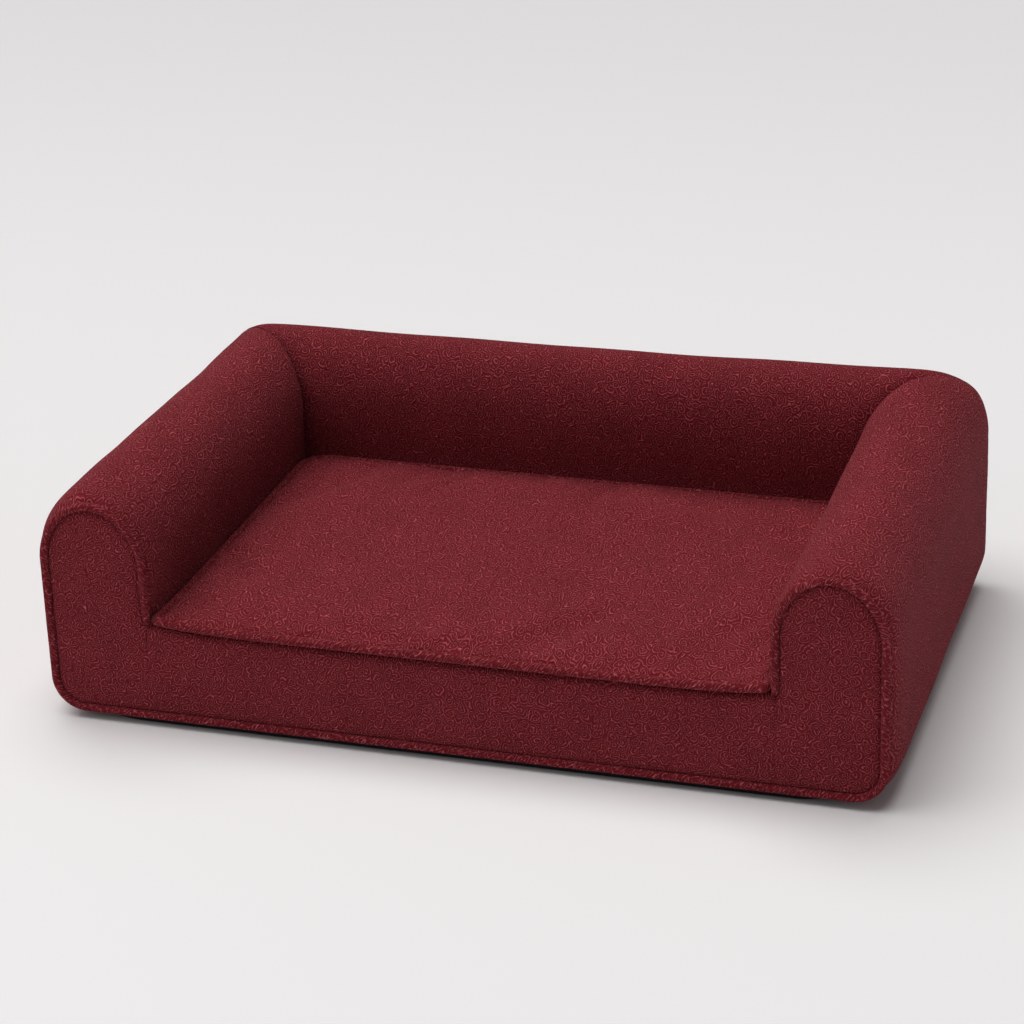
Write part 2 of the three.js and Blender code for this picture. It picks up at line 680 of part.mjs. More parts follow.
// A flat tab with an eye: the bar at the end of the eye is the pin that turns under the bail. The pin
// is at the origin of the pull.
function zipPull() {
  const halfWidthPull = PULL_WIDTH / 2;
  const tip = new THREE.Path();
  tip.moveTo(-PULL_THICKNESS / 2, -halfWidthPull * PULL_TAPER);
  tip.lineTo(PULL_LENGTH - halfWidthPull, -halfWidthPull);
  tip.absarc(PULL_LENGTH - halfWidthPull, 0, halfWidthPull, -Math.PI / 2, Math.PI / 2, false);
  tip.lineTo(-PULL_THICKNESS / 2, halfWidthPull * PULL_TAPER);
  const half = PULL_THICKNESS / 2;
  const eyeEnd = BAIL_LENGTH / 2 + PULL_EYE;
  return alongZ(tip.getPoints(ARC_POINTS / 2), -half, half).subtract(
    block([half, -BAIL_WIDTH / 2 - GAP, -PAST], [eyeEnd, BAIL_WIDTH / 2 + GAP, PAST]),
  );
}

function zipStop() {
  const low = ZIP_TAPE / 2 + GAP;
  return block(
    [0, -ZIP_SLIT / 2 - COIL, low],
    [STOP_LENGTH, ZIP_SLIT / 2 + COIL, low + STOP_HEIGHT],
  );
}

// ---------------------------------------------------------------- finishes
const finish = (colour, roughness, metalness = 0) =>
  new THREE.MeshStandardMaterial({ color: colour, roughness, metalness });
const burgundy = finish(0x6b1c2c, 0.9);
const burgundyWelt = finish(0x611827, 0.9);
const charcoalCloth = finish(0x35353a, 0.95);
const liningCloth = finish(0x4a4347, 0.95);
const whiteFoam = finish(0xe9e2cf, 0.95);
const memoryFoam = finish(0xd9dde0, 0.95);
const plywood = finish(0xc9a877, 0.7);
const pine = finish(0xd8bd8b, 0.75);
const zinc = finish(0xb9b8ae, 0.4, 1);
const darkZinc = finish(0x55555a, 0.35, 1);
const zipCloth = finish(0x4d1521, 0.85);
const rubber = finish(0x1d1d1f, 0.8);

function piece(name, body, material) {
  const mesh = new THREE.Mesh(geometryOf(body), material);
  mesh.name = name;
  return mesh;
}

// ---------------------------------------------------------------- assembly
const dogBed = new THREE.Group();

const frame = new THREE.Group();
frame.add(
  piece("base_board", cutAll(baseBoard, [...screwHoles, ...stemHoles]), plywood),
  piece("side_board_left", cutAll(sideBoardLeft, screwHoles), plywood),
  piece("side_board_right", cutAll(mirrored(sideBoardLeft), screwHoles), plywood),
  piece("back_board", cutAll(backBoard, screwHoles), plywood),
  piece("front_rail_board", cutAll(railBoard, screwHoles), plywood),
  piece("corner_post_front_left", cutAll(frontPost, screwHoles), pine),
  piece("corner_post_front_right", cutAll(mirrored(frontPost), screwHoles), pine),
  piece("corner_post_rear_left", cutAll(rearPost, screwHoles), pine),
  piece("corner_post_rear_right", cutAll(mirrored(rearPost), screwHoles), pine),
);
for (const { name, at, turn } of screws) {
  const screw = new THREE.Mesh(screwGeometry(), zinc);
  screw.name = name;
  screw.position.copy(at);
  screw.quaternion.copy(turn);
  frame.add(screw);
}
for (const { name, at } of glides) {
  frame.add(piece(name, glide.translate(at), rubber));
}
dogBed.add(frame);

const bolsters = new THREE.Group();
bolsters.add(
  piece("arm_foam_left", armFoam, whiteFoam),
  piece("arm_foam_right", mirrored(armFoam), whiteFoam),
  piece("back_foam", backFoam, whiteFoam),
  piece("rail_foam", railFoam, whiteFoam),
  piece("arm_cover_left", armCover, burgundy),
  piece("arm_cover_right", mirrored(armCover), burgundy),
  piece("back_cover", backCover, burgundy),
  piece("rail_cover", railCover, burgundy),
  piece("front_panel_left", armFront, burgundy),
  piece("front_panel_right", mirrored(armFront), burgundy),
  piece("front_panel_middle", middleFront, burgundy),
  piece("front_welt", frontWelt, burgundyWelt),
  piece("deck_cloth", deckCloth, liningCloth),
  piece("base_cloth", cutAll(baseCloth, stemHoles), charcoalCloth),
);
dogBed.add(bolsters);

const cushion = new THREE.Group();
cushion.add(
  piece("cushion_cover", cushionCover, burgundy),
  piece("cushion_underside", cushionBottom, liningCloth),
  piece("cushion_welt", cushionWelt, burgundyWelt),
  piece("cushion_support_foam", supportFoam, whiteFoam),
  piece("cushion_comfort_foam", comfortFoam, memoryFoam),
);
dogBed.add(cushion);

// Both zips face the back: their x runs towards -X and their z towards +Y. The slider rests at the far
// end of the closed zip. The pull lies back along the coils.
function addZip(prefix, length, planeY, z, hasPull) {
  const zip = new THREE.Group();
  zip.position.set(0, planeY, z);
  zip.quaternion.setFromRotationMatrix(
    new THREE.Matrix4().makeBasis(
      new THREE.Vector3(-1, 0, 0),
      new THREE.Vector3(0, 0, 1),
      new THREE.Vector3(0, 1, 0),
    ),
  );
  zip.add(
    piece(`${prefix}_zip_tape_upper`, zipTape(length, 1), zipCloth),
    piece(`${prefix}_zip_tape_lower`, zipTape(length, -1), zipCloth),
  );
  for (const [name, x] of [["start", -length / 2 - GAP - STOP_LENGTH], ["end", length / 2 + GAP]]) {
    const stop = piece(`${prefix}_zip_stop_${name}`, zipStop(), darkZinc);
    stop.position.x = x;
    zip.add(stop);
  }
  const slider = piece(`${prefix}_zip_slider`, zipSlider(), darkZinc);
  slider.position.x = length / 2 - SLIDER_LENGTH / 2;
  zip.add(slider);
  if (hasPull) {
    const pull = piece(`${prefix}_zip_pull`, zipPull(), darkZinc);
    pull.position.set(slider.position.x, 0, pinZ);
    pull.rotation.z = Math.PI;
    zip.add(pull);
  }
  dogBed.add(zip);
}
addZip("cover", coverZip, zipPlaneY, COVER_ZIP_Z, true);
addZip("cushion", cushionZip, cushionZipY, CUSHION_ZIP_Z, false);

// The cover zip's slider is the furthest point at the back: the origin is midway from it to the front,
// and on the floor under the glides.
dogBed.position.set(0, -(zipPlaneY + bailTop - backY) / 2, GLIDE_HEIGHT);

export default dogBed;
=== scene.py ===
# %% [markdown]
# # A sofa-style dog bed
# The solid model of this bed is already made: a plywood tray, foam bolsters on three sides, a sewn
# cover and a loose cushion. This lesson dresses it. Each cell makes one piece or one finish, and says
# how the real thing is made before it makes it. All sizes are in metres.

# %% Load the solid model
import math

import bmesh
import bpy
import numpy as np
from mathutils import Matrix, Vector
from mathutils.geometry import delaunay_2d_cdt


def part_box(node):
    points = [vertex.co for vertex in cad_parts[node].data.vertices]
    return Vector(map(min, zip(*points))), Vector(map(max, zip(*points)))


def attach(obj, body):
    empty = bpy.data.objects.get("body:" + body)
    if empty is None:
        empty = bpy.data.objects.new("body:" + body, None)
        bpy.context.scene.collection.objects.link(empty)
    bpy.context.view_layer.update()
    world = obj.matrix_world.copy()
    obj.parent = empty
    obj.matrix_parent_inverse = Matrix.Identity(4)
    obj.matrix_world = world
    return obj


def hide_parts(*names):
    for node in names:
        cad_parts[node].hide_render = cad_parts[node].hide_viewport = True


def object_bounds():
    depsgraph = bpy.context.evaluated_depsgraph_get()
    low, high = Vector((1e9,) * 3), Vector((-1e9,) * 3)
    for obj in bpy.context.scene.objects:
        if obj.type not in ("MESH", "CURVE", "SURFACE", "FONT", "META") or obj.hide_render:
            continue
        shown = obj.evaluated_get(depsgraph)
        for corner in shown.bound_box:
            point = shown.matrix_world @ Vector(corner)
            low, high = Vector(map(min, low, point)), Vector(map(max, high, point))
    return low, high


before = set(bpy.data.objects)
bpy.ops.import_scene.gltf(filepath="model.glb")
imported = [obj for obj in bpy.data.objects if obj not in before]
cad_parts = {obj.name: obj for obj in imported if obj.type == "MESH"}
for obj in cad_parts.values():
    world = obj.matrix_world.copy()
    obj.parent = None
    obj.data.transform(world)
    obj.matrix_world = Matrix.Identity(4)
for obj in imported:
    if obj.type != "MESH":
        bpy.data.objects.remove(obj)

cad_low, cad_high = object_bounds()
print("solid model spans", [round(v, 4) for v in cad_high - cad_low])

# %% [markdown]
# ## Sizes
# Places come from the solids themselves: the outline of an arm from the arm cover, the well from the
# deck cloth, and so on. Only sizes that a box can't tell, such as the rise of the rounded top, are
# written as numbers. The cover's hem sags a little below the solid's.

# %% Measure the solids
arm_low, arm_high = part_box("arm_cover_right")
back_low, back_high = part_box("back_cover")
welt_low, welt_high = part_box("front_welt")
deck_low, deck_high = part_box("deck_cloth")
rail_low, rail_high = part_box("rail_cover")
ring_low, ring_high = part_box("cushion_welt")
border_low, border_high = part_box("cushion_support_foam")
base_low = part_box("base_cloth")[0]

HALF_WIDTH = welt_high.x
ARM_WIDTH = arm_high.x - arm_low.x
BACK_WIDTH = back_high.y - back_low.y
ARM_TOP = arm_high.z
BACK_TOP = back_high.z
COVER_HANG = 0.0004
UNDERSIDE = arm_low.z - COVER_HANG
FRONT_Y = welt_low.y
COVER_FRONT_Y = arm_low.y
BACK_Y = back_high.y
INNER_X = HALF_WIDTH - ARM_WIDTH
WELT = welt_high.y - welt_low.y
ARCH_RISE = 0.064
FOOT_RADIUS = 0.033
SEAT_WELT_Z = (ring_low.z + ring_high.z) / 2
print("arms", round(ARM_WIDTH, 4), "back", round(BACK_WIDTH, 4), "welt", round(WELT, 4))

# %% [markdown]
# ## Camera
# The bed is seen from the front, a little from the right and from above, through a long lens, so that
# its parallel edges stay nearly parallel. The camera is turned a little about its own view line.

# %% Place the camera
CAMERA_PLACE = Vector((0.8807, -2.7181, 1.4275))
CAMERA_AZIMUTH = math.radians(18.3)
CAMERA_ELEVATION = math.radians(24.2)
CAMERA_ROLL = math.radians(-2.2)
LENS_OVER_FRAME = 3.1846


def camera_axes(azimuth, elevation, roll):
    level = math.cos(elevation)
    back = Vector((math.sin(azimuth) * level, -math.cos(azimuth) * level, math.sin(elevation)))
    right = Vector((0, 0, 1)).cross(back).normalized()
    up = back.cross(right)
    turned_right = math.cos(roll) * right + math.sin(roll) * up
    turned_up = -math.sin(roll) * right + math.cos(roll) * up
    return Matrix((turned_right, turned_up, back)).transposed()


def add_object(name, data):
    made = bpy.data.objects.new(name, data)
    bpy.context.scene.collection.objects.link(made)
    return made


camera_data = bpy.data.cameras.new("camera")
camera_data.sensor_width = 36
camera_data.lens = camera_data.sensor_width * LENS_OVER_FRAME
camera = add_object("camera", camera_data)
axes = camera_axes(CAMERA_AZIMUTH, CAMERA_ELEVATION, CAMERA_ROLL)
camera.matrix_world = Matrix.Translation(CAMERA_PLACE) @ axes.to_4x4()
bpy.context.scene.camera = camera
bpy.context.scene.view_settings.view_transform = "Standard"
print("lens", round(camera_data.lens, 1), "mm")

# %% [markdown]
# ## Helpers for materials
# A material is a Principled shader fed by small node trees. These helpers keep the lessons short: they
# add nodes and join them, make a node group with named inputs and outputs, and set up a material.

# %% Node helpers
def feed(tree, socket, value):
    """Joins a node's output to a socket, or writes a plain value on the socket."""
    if isinstance(value, bpy.types.NodeSocket):
        tree.links.new(value, socket)
    else:
        socket.default_value = value


def add_node(tree, kind, inputs=None, **settings):
    node = tree.nodes.new(kind)
    for key, value in settings.items():
        setattr(node, key, value)
    for key, value in (inputs or {}).items():
        feed(tree, node.inputs[key], value)
    return node


def math_node(tree, operation, *values):
    return add_node(tree, "ShaderNodeMath", dict(enumerate(values)), operation=operation).outputs[0]


def vector_node(tree, operation, *values, **more):
    inputs = {**dict(enumerate(values)), **more}
    return add_node(tree, "ShaderNodeVectorMath", inputs, operation=operation).outputs["Vector"]


def split(tree, vector):
    return add_node(tree, "ShaderNodeSeparateXYZ", {"Vector": vector}).outputs


def noise(tree, place, scale, detail=1.0, dimensions="3D", **more):
    inputs = {"Vector": place, "Scale": scale, "Detail": detail, **more}
    return add_node(tree, "ShaderNodeTexNoise", inputs, noise_dimensions=dimensions).outputs


def ramp(tree, value, low, high, out_low=0.0, out_high=1.0, kind="SMOOTHSTEP"):
    inputs = {"Value": value, "From Min": low, "From Max": high, "To Min": out_low, "To Max": out_high}
    return add_node(tree, "ShaderNodeMapRange", inputs, interpolation_type=kind).outputs["Result"]


def mix_colour(tree, factor, first, second):
    node = add_node(tree, "ShaderNodeMix", data_type="RGBA")
    feed(tree, node.inputs[0], factor)
    for index, colour in ((6, first), (7, second)):
        feed(tree, node.inputs[index], colour if isinstance(colour, bpy.types.NodeSocket) else (*colour, 1))
    return node.outputs[2]


def shaded(colour, share):
    return [share * c for c in colour]


def shader_group(name, inputs, build):
    """A shader group. A place has no default, a number has one. build returns the outputs by name."""
    tree = bpy.data.node_groups.new(name, "ShaderNodeTree")
    for key, default in inputs.items():
        kind = "NodeSocketVector" if default is None else "NodeSocketFloat"
        socket = tree.interface.new_socket(key, in_out="INPUT", socket_type=kind)
        if default is not None:
            socket.default_value = default
    made = build(tree, tree.nodes.new("NodeGroupInput").outputs)
    for key in made:
        tree.interface.new_socket(key, in_out="OUTPUT", socket_type="NodeSocketFloat")
    out = tree.nodes.new("NodeGroupOutput").inputs
    for key, socket in made.items():
        tree.links.new(socket, out[key])
    print(name, len(tree.nodes), "nodes")
    return tree


def use_group(tree, group, **inputs):
    named = {key.title(): value for key, value in inputs.items()}
    return add_node(tree, "ShaderNodeGroup", named, node_tree=group).outputs


def material(name, roughness=0.8, metallic=0.0, specular=0.5, sheen=0.0, sheen_tint=(1, 1, 1)):
    """A material with its Principled shader. The numbers that don't change over it go on its sockets."""
    made = bpy.data.materials.new(name)
    made.use_nodes = True
    shader = made.node_tree.nodes["Principled BSDF"]
    numbers = {
        "Roughness": roughness, "Metallic": metallic, "Specular IOR Level": specular,
        "Sheen Weight": sheen, "Sheen Roughness": 0.45, "Sheen Tint": (*sheen_tint, 1),
    }
    for key, value in numbers.items():
        shader.inputs[key].default_value = value
    return made, made.node_tree, shader


def finish_with(tree, shader, colour, height, depth, roughness=None):
    tree.links.new(colour, shader.inputs["Base Color"])
    if roughness is not None:
        tree.links.new(roughness, shader.inputs["Roughness"])
    bump = add_node(tree, "ShaderNodeBump", {"Height": height, "Distance": depth, "Strength": 1.0})
    tree.links.new(bump.outputs["Normal"], shader.inputs["Normal"])


def cloth_place(tree):
    return add_node(tree, "ShaderNodeUVMap", uv_map="cloth").outputs["UV"]


def object_place(tree):
    return add_node(tree, "ShaderNodeTexCoord").outputs["Object"]


# %% [markdown]
# ## The scroll jacquard
# The cover is a jacquard: the loom raises threads of the cloth's own colour into small rings, spirals
# and worm-like scrolls, about a centimetre across. A Voronoi texture gives each motif its centre. The
# distance from that centre, read as a wave, draws rings, and adding the angle round the centre turns
# rings into spirals. Noise bends the plane and shifts the wave, so that no two motifs are alike, and
# fades some of the lines, as a worn or loosely woven thread does.

# %% Group: scroll jacquard
MOTIF = 0.0092
LINE = 0.0024


def scrolls(tree, given):
    flat = vector_node(tree, "MULTIPLY", given["Place"], (1, 1, 0))
    plane = vector_node(tree, "SCALE", flat, Scale=math_node(tree, "DIVIDE", 1.0, given["Motif"]))

    def blotches(scale, detail=1.0):
        return noise(tree, plane, scale, detail, "2D")

    shift = vector_node(tree, "SUBTRACT", blotches(0.9)["Color"], (0.5, 0.5, 0.5))
    shift = vector_node(tree, "SCALE", shift, Scale=math_node(tree, "MULTIPLY", given["Wander"], 4.0))
    bent = vector_node(tree, "ADD", plane, shift)
    cells = add_node(
        tree, "ShaderNodeTexVoronoi", {"Vector": bent, "Scale": 1.0, "Randomness": 0.8}, voronoi_dimensions="2D"
    )
    spoke = split(tree, vector_node(tree, "SUBTRACT", bent, cells.outputs["Position"]))
    angle = math_node(tree, "DIVIDE", math_node(tree, "ARCTAN2", spoke["Y"], spoke["X"]), 2 * math.pi)
    luck = add_node(tree, "ShaderNodeSeparateColor", {"Color": cells.outputs["Color"]}).outputs
    swirl = math_node(tree, "ROUND", math_node(tree, "MULTIPLY_ADD", luck["Red"], 2.98, -1.49))
    lines = math_node(tree, "DIVIDE", given["Motif"], given["Line"])
    rings = math_node(tree, "MULTIPLY", cells.outputs["Distance"], lines)
    phase = math_node(tree, "ADD", math_node(tree, "MULTIPLY_ADD", swirl, angle, rings), luck["Green"])
    phase = math_node(tree, "MULTIPLY_ADD", blotches(1.5)["Fac"], 0.8, phase)
    wave = math_node(tree, "COSINE", math_node(tree, "MULTIPLY", phase, 2 * math.pi))
    kept = ramp(tree, blotches(3.2)["Fac"], 0.36, 0.54, 0.3, 1.0)
    return {
        "Raised": math_node(tree, "MULTIPLY", ramp(tree, wave, 0.5, 1.0), kept),
        "Sunk": ramp(tree, wave, -0.3, -1.0),
        "Fleck": ramp(tree, blotches(7.0)["Fac"], 0.66, 0.8),
        "Patch": blotches(0.22, 3.0)["Fac"],
    }


scroll_jacquard = shader_group(
    "scroll_jacquard", {"Place": None, "Motif": MOTIF, "Line": LINE, "Wander": 0.15}, scrolls
)

# %% [markdown]
# ## Thread and fuzz
# Seen close, every cloth here is woven: warp and weft threads cross under and over. Two sine waves at
# right angles make the threads, and fine noise breaks them up.

# %% Group: plain weave
def threads(tree, given):
    turns = math_node(tree, "DIVIDE", 2 * math.pi, given["Thread"])
    across = split(tree, vector_node(tree, "SCALE", given["Place"], Scale=turns))
    warp, weft = math_node(tree, "SINE", across["X"]), math_node(tree, "SINE", across["Y"])
    crossing = math_node(tree, "MULTIPLY_ADD", math_node(tree, "MULTIPLY", warp, weft), 0.5, 0.5)
    lint = noise(tree, given["Place"], 1400.0, 2.0)["Fac"]
    frayed = math_node(tree, "MULTIPLY_ADD", math_node(tree, "SUBTRACT", lint, crossing), given["Fuzz"], crossing)
    return {"Weave": frayed, "Lint": lint}


plain_weave = shader_group("plain_weave", {"Place": None, "Thread": 0.0006, "Fuzz": 0.5}, threads)

# %% [markdown]
# ## Cover cloth and welt cloth
# The ground of the jacquard is a deep burgundy and the raised scrolls are the same yarn, which catches
# more light. Between the scrolls the sunk ground is painted darker, as shade in the grooves. A little
# sheen stands for the loose fibres that light up where the surface turns away.
# The motifs are longer along the loom's warp, which runs along the arms and from front to back on the
# seat. The welt is the same cloth cut on the bias and pulled tight round its cord, so its lines slant.

# %% Materials: burgundy jacquard
GROUND_RED = (0.190, 0.0146, 0.0216)
# Painted shade: the groove colour below darkens the sunk ground between the raised lines.
GROOVE_SHADE_RED = (0.127, 0.0083, 0.0132)
SCROLL_RED = (0.56, 0.125, 0.145)
SHEEN_ROSE = (1.0, 0.55, 0.6)


def jacquard(name, motif=MOTIF, line=LINE, bias=0.0, stretch=1.0):
    """Stretch makes the motifs longer across the bias, or along the piece where there is no bias."""
    made, tree, shader = material(name, roughness=0.9, specular=0.05, sheen=0.05, sheen_tint=SHEEN_ROSE)
    flat = cloth_place(tree)
    turned = {"Vector": flat, "Rotation": (0, 0, bias), "Scale": (1, stretch, 1)}
    place = add_node(tree, "ShaderNodeMapping", turned, vector_type="TEXTURE").outputs[0]
    pattern = use_group(tree, scroll_jacquard, place=place, motif=motif, line=line)
    weave = use_group(tree, plain_weave, place=flat, thread=0.0008)
    patch = ramp(tree, pattern["Patch"], 0.3, 0.7)
    ground = mix_colour(tree, patch, shaded(GROUND_RED, 0.93), shaded(GROUND_RED, 1.06))
    # Painted shade: the sunk ground between the raised lines is darkened, as shade in the grooves.
    ground = mix_colour(tree, math_node(tree, "MULTIPLY", pattern["Sunk"], 0.7), ground, GROOVE_SHADE_RED)
    fade = ramp(tree, pattern["Patch"], 0.25, 0.75, 0.88, 1.0)
    lit = math_node(tree, "MULTIPLY", pattern["Raised"], fade)
    lit = math_node(tree, "MULTIPLY_ADD", pattern["Fleck"], 0.15, lit)
    worked = mix_colour(tree, lit, ground, SCROLL_RED)
    fuzzy = ramp(tree, weave["Lint"], 0.3, 0.7, 0.0, 0.22)
    colour = mix_colour(tree, fuzzy, worked, shaded(GROUND_RED, 0.5))
    relief = math_node(tree, "MULTIPLY_ADD", pattern["Sunk"], -0.4, pattern["Raised"])
    height = math_node(tree, "MULTIPLY_ADD", weave["Weave"], 0.2, relief)
    finish_with(tree, shader, colour, height, depth=0.0010)
    return made


cover_cloth = jacquard("cover_cloth")
long_cover_cloth = jacquard("cover_cloth_along", stretch=1.6)
welt_cloth = jacquard("welt_cloth", motif=0.0046, line=0.0021, bias=math.radians(40), stretch=3.2)
print("materials:", cover_cloth.name, welt_cloth.name)

# %% [markdown]
# ## Foam, wood and metal up close
# Three more groups give the hidden pieces their grain. Foam is a mass of small open cells. Wood has a
# figure stretched along the tree, and dark pores. Cast or moulded pieces have dull spots and fine grain.

# %% Groups: foam cells, wood figure, cast metal
def foam_holes(tree, given):
    size = math_node(tree, "DIVIDE", 1.0, given["Cell"])
    cells = add_node(tree, "ShaderNodeTexVoronoi", {"Vector": given["Place"], "Scale": size})
    return {
        "Cells": ramp(tree, cells.outputs["Distance"], 0.0, 0.6),
        "Tone": noise(tree, given["Place"], 14.0, 4.0)["Fac"],
    }


def wood_grain(tree, given):
    narrow = {"X": 1.0, "Y": given["Stretch"], "Z": given["Stretch"]}
    along = add_node(tree, "ShaderNodeCombineXYZ", narrow).outputs[0]
    place = vector_node(tree, "MULTIPLY", given["Place"], along)
    return {
        "Figure": ramp(tree, noise(tree, place, 4.0, 6.0, Distortion=0.6)["Fac"], 0.3, 0.7),
        "Pores": ramp(tree, noise(tree, place, 60.0, 2.0)["Fac"], 0.55, 0.7),
    }


def cast_grain(tree, given):
    return {
        "Dull": ramp(tree, noise(tree, given["Place"], 120.0, 4.0)["Fac"], 0.35, 0.7),
        "Grain": noise(tree, given["Place"], given["Grain"])["Fac"],
    }


foam_cells = shader_group("foam_cells", {"Place": None, "Cell": 0.0012}, foam_holes)
wood_figure = shader_group("wood_figure", {"Place": None, "Stretch": 14.0}, wood_grain)
cast_metal = shader_group("cast_metal", {"Place": None, "Grain": 900.0}, cast_grain)

# %% [markdown]
# ## Plain cloths, foam, wood and metal
# These finishes are for what shows when the cushion is out or the cover is open: threads in the
# linings, cells in the foam, plies and figure in the boards, dull spots on metal, rubber and nylon.

# %% Materials: linings, foam, wood, metal, rubber
PLY_THICKNESS = 0.003


def plain_cloth(name, colour, thread=0.0012, sheen=0.15, specular=0.2):
    made, tree, shader = material(name, roughness=0.9, specular=specular, sheen=sheen)
    weave = use_group(tree, plain_weave, place=cloth_place(tree), thread=thread, fuzz=0.4)
    worked = mix_colour(tree, weave["Weave"], shaded(colour, 0.7), shaded(colour, 1.2))
    finish_with(tree, shader, worked, weave["Weave"], depth=0.0004)
    return made


def foam(name, colour, cell):
    made, tree, shader = material(name, roughness=0.95, specular=0.15)
    cells = use_group(tree, foam_cells, place=object_place(tree), cell=cell)
    toned = mix_colour(tree, cells["Tone"], shaded(colour, 0.9), colour)
    worked = mix_colour(tree, cells["Cells"], shaded(colour, 0.6), toned)
    finish_with(tree, shader, worked, cells["Cells"], depth=0.0006)
    return made


def wood(name, pale, dark, turn=(0, 0, 0), ply_axis=None):
    made, tree, shader = material(name, roughness=0.6, specular=0.3)
    place = object_place(tree)
    along = add_node(tree, "ShaderNodeMapping", {"Vector": place, "Rotation": turn}).outputs[0]
    figure = use_group(tree, wood_figure, place=along)
    worked = mix_colour(tree, figure["Figure"], pale, dark)
    worked = mix_colour(tree, math_node(tree, "MULTIPLY", figure["Pores"], 0.4), worked, shaded(dark, 0.5))
    if ply_axis:
        turns = math_node(tree, "MULTIPLY", split(tree, place)[ply_axis], 2 * math.pi / PLY_THICKNESS)
        glue_lines = ramp(tree, math_node(tree, "SINE", turns), -0.2, 0.2, 0.0, 0.35)
        worked = mix_colour(tree, glue_lines, worked, shaded(dark, 0.6))
    finish_with(tree, shader, worked, figure["Figure"], depth=0.0002)
    return made


def metal(name, colour, dull_colour, roughness):
    made, tree, shader = material(name, roughness=roughness, metallic=1.0)
    cast = use_group(tree, cast_metal, place=object_place(tree))
    worked = mix_colour(tree, cast["Dull"], colour, dull_colour)
    rough = ramp(tree, cast["Dull"], 0.0, 1.0, roughness, roughness + 0.2)
    finish_with(tree, shader, worked, cast["Grain"], depth=0.00005, roughness=rough)
    return made


def moulded(name, colour, roughness):
    """A moulded or spun finish: one colour, broken up a little, with fine grain."""
    made, tree, shader = material(name, roughness=roughness)
    cast = use_group(tree, cast_metal, place=object_place(tree), grain=1600.0)
    worked = mix_colour(tree, cast["Dull"], colour, shaded(colour, 0.8))
    finish_with(tree, shader, worked, cast["Grain"], depth=0.00006)
    return made


BIRCH, BIRCH_DARK = (0.60, 0.43, 0.24), (0.46, 0.30, 0.15)
PINE, PINE_DARK = (0.66, 0.46, 0.22), (0.50, 0.30, 0.12)
lining_cloth = plain_cloth("lining_cloth", (0.069, 0.056, 0.063))
# Painted shadow: the base cloth is made near black, with no sheen, so the gap under the bed reads as shade.
base_weave_as_shadow = plain_cloth("base_weave_as_shadow", (0.012, 0.012, 0.014), thread=0.0016, sheen=0.0, specular=0.05)
tape_cloth = plain_cloth("tape_cloth", (0.074, 0.007, 0.013), thread=0.0009)
white_foam = foam("white_foam", (0.81, 0.76, 0.62), 0.0016)
memory_foam = foam("memory_foam", (0.69, 0.72, 0.74), 0.0009)
ply_flat = wood("ply_flat", BIRCH, BIRCH_DARK, ply_axis="Z")
ply_side = wood("ply_side", BIRCH, BIRCH_DARK, turn=(0, 0, math.pi / 2), ply_axis="X")
ply_across = wood("ply_across", BIRCH, BIRCH_DARK, ply_axis="Y")
pine_post = wood("pine_post", PINE, PINE_DARK, turn=(0, math.pi / 2, 0))
screw_zinc = metal("screw_zinc", (0.62, 0.61, 0.55), (0.42, 0.41, 0.36), 0.3)
zip_metal = metal("zip_metal", (0.12, 0.12, 0.135), (0.06, 0.06, 0.07), 0.32)
coil_nylon = moulded("coil_nylon", (0.085, 0.009, 0.015), 0.4)
grip_rubber = moulded("grip_rubber", (0.045, 0.045, 0.05), 0.6)
sewing_thread = moulded("sewing_thread", (0.16, 0.02, 0.03), 0.7)
print("materials made:", len(bpy.data.materials))

# %% [markdown]
# ## Helpers for cloth shapes
# Sewn pieces are made from points in two directions, like the warp and weft of the cloth they stand
# for. Each point also keeps its place on the flat cloth, in metres, so that the jacquard runs straight
# along a piece and isn't stretched where it bends.

# %% Mesh helpers
TOUCHING = 1e-6


def thicken(made, thickness):
    """Gives a sheet the thickness of its cloth, on its inner side."""
    wall = made.modifiers.new("cloth thickness", "SOLIDIFY")
    wall.thickness = thickness
    wall.offset = -1


def cloth_object(name, vertices, faces, cloth_uv, finish, thickness=0.0):
    mesh = bpy.data.meshes.new(name)
    mesh.from_pydata([tuple(v) for v in np.reshape(vertices, (-1, 3))], [], [tuple(f) for f in faces])
    layer = mesh.uv_layers.new(name="cloth")
    corner_vertex = np.zeros(len(mesh.loops), dtype=np.int32)
    mesh.loops.foreach_get("vertex_index", corner_vertex)
    flat = np.asarray(cloth_uv, dtype=np.float32).reshape(-1, 2)
    layer.data.foreach_set("uv", flat[corner_vertex].ravel())
    mesh.polygons.foreach_set("use_smooth", np.ones(len(mesh.polygons), dtype=bool))
    mesh.materials.append(finish)
    made = add_object(name, mesh)
    if thickness:
        thicken(made, thickness)
    mesh.update()
    return made


def turn_towards(made, way):
    """Turns a sheet's faces round where they look away from a direction."""
    if sum(face.normal.dot(Vector(way)) for face in made.data.polygons) < 0:
        made.data.flip_normals()


def mount(made, body, node=None):
    """Fixes a piece to a body and hides the solid it stands for, if one is given."""
    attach(made, body)
    if node:
        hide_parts(node)
    print(made.name, "on", body, "-", len(made.data.polygons), "faces")


def stacked(*parts):
    """Points from their coordinates. A coordinate that is the same for a whole row is given once."""
    return np.stack(np.broadcast_arrays(*parts), -1)


def grid_faces(rows, columns, wrap_rows=False, flip=False):
    """Four-sided faces of a grid of rows x columns points."""
    first = np.arange(rows if wrap_rows else rows - 1)[:, None] * columns
    second = (first + columns) % (rows * columns)
    column = np.arange(columns - 1)[None, :]
    faces = stacked(first + column, second + column, second + column + 1, first + column + 1).reshape(-1, 4)
    return faces[:, ::-1] if flip else faces


def lengths_along(points):
    steps = np.linalg.norm(np.diff(points, axis=0), axis=1)
    return np.concatenate([[0.0], np.cumsum(steps)])


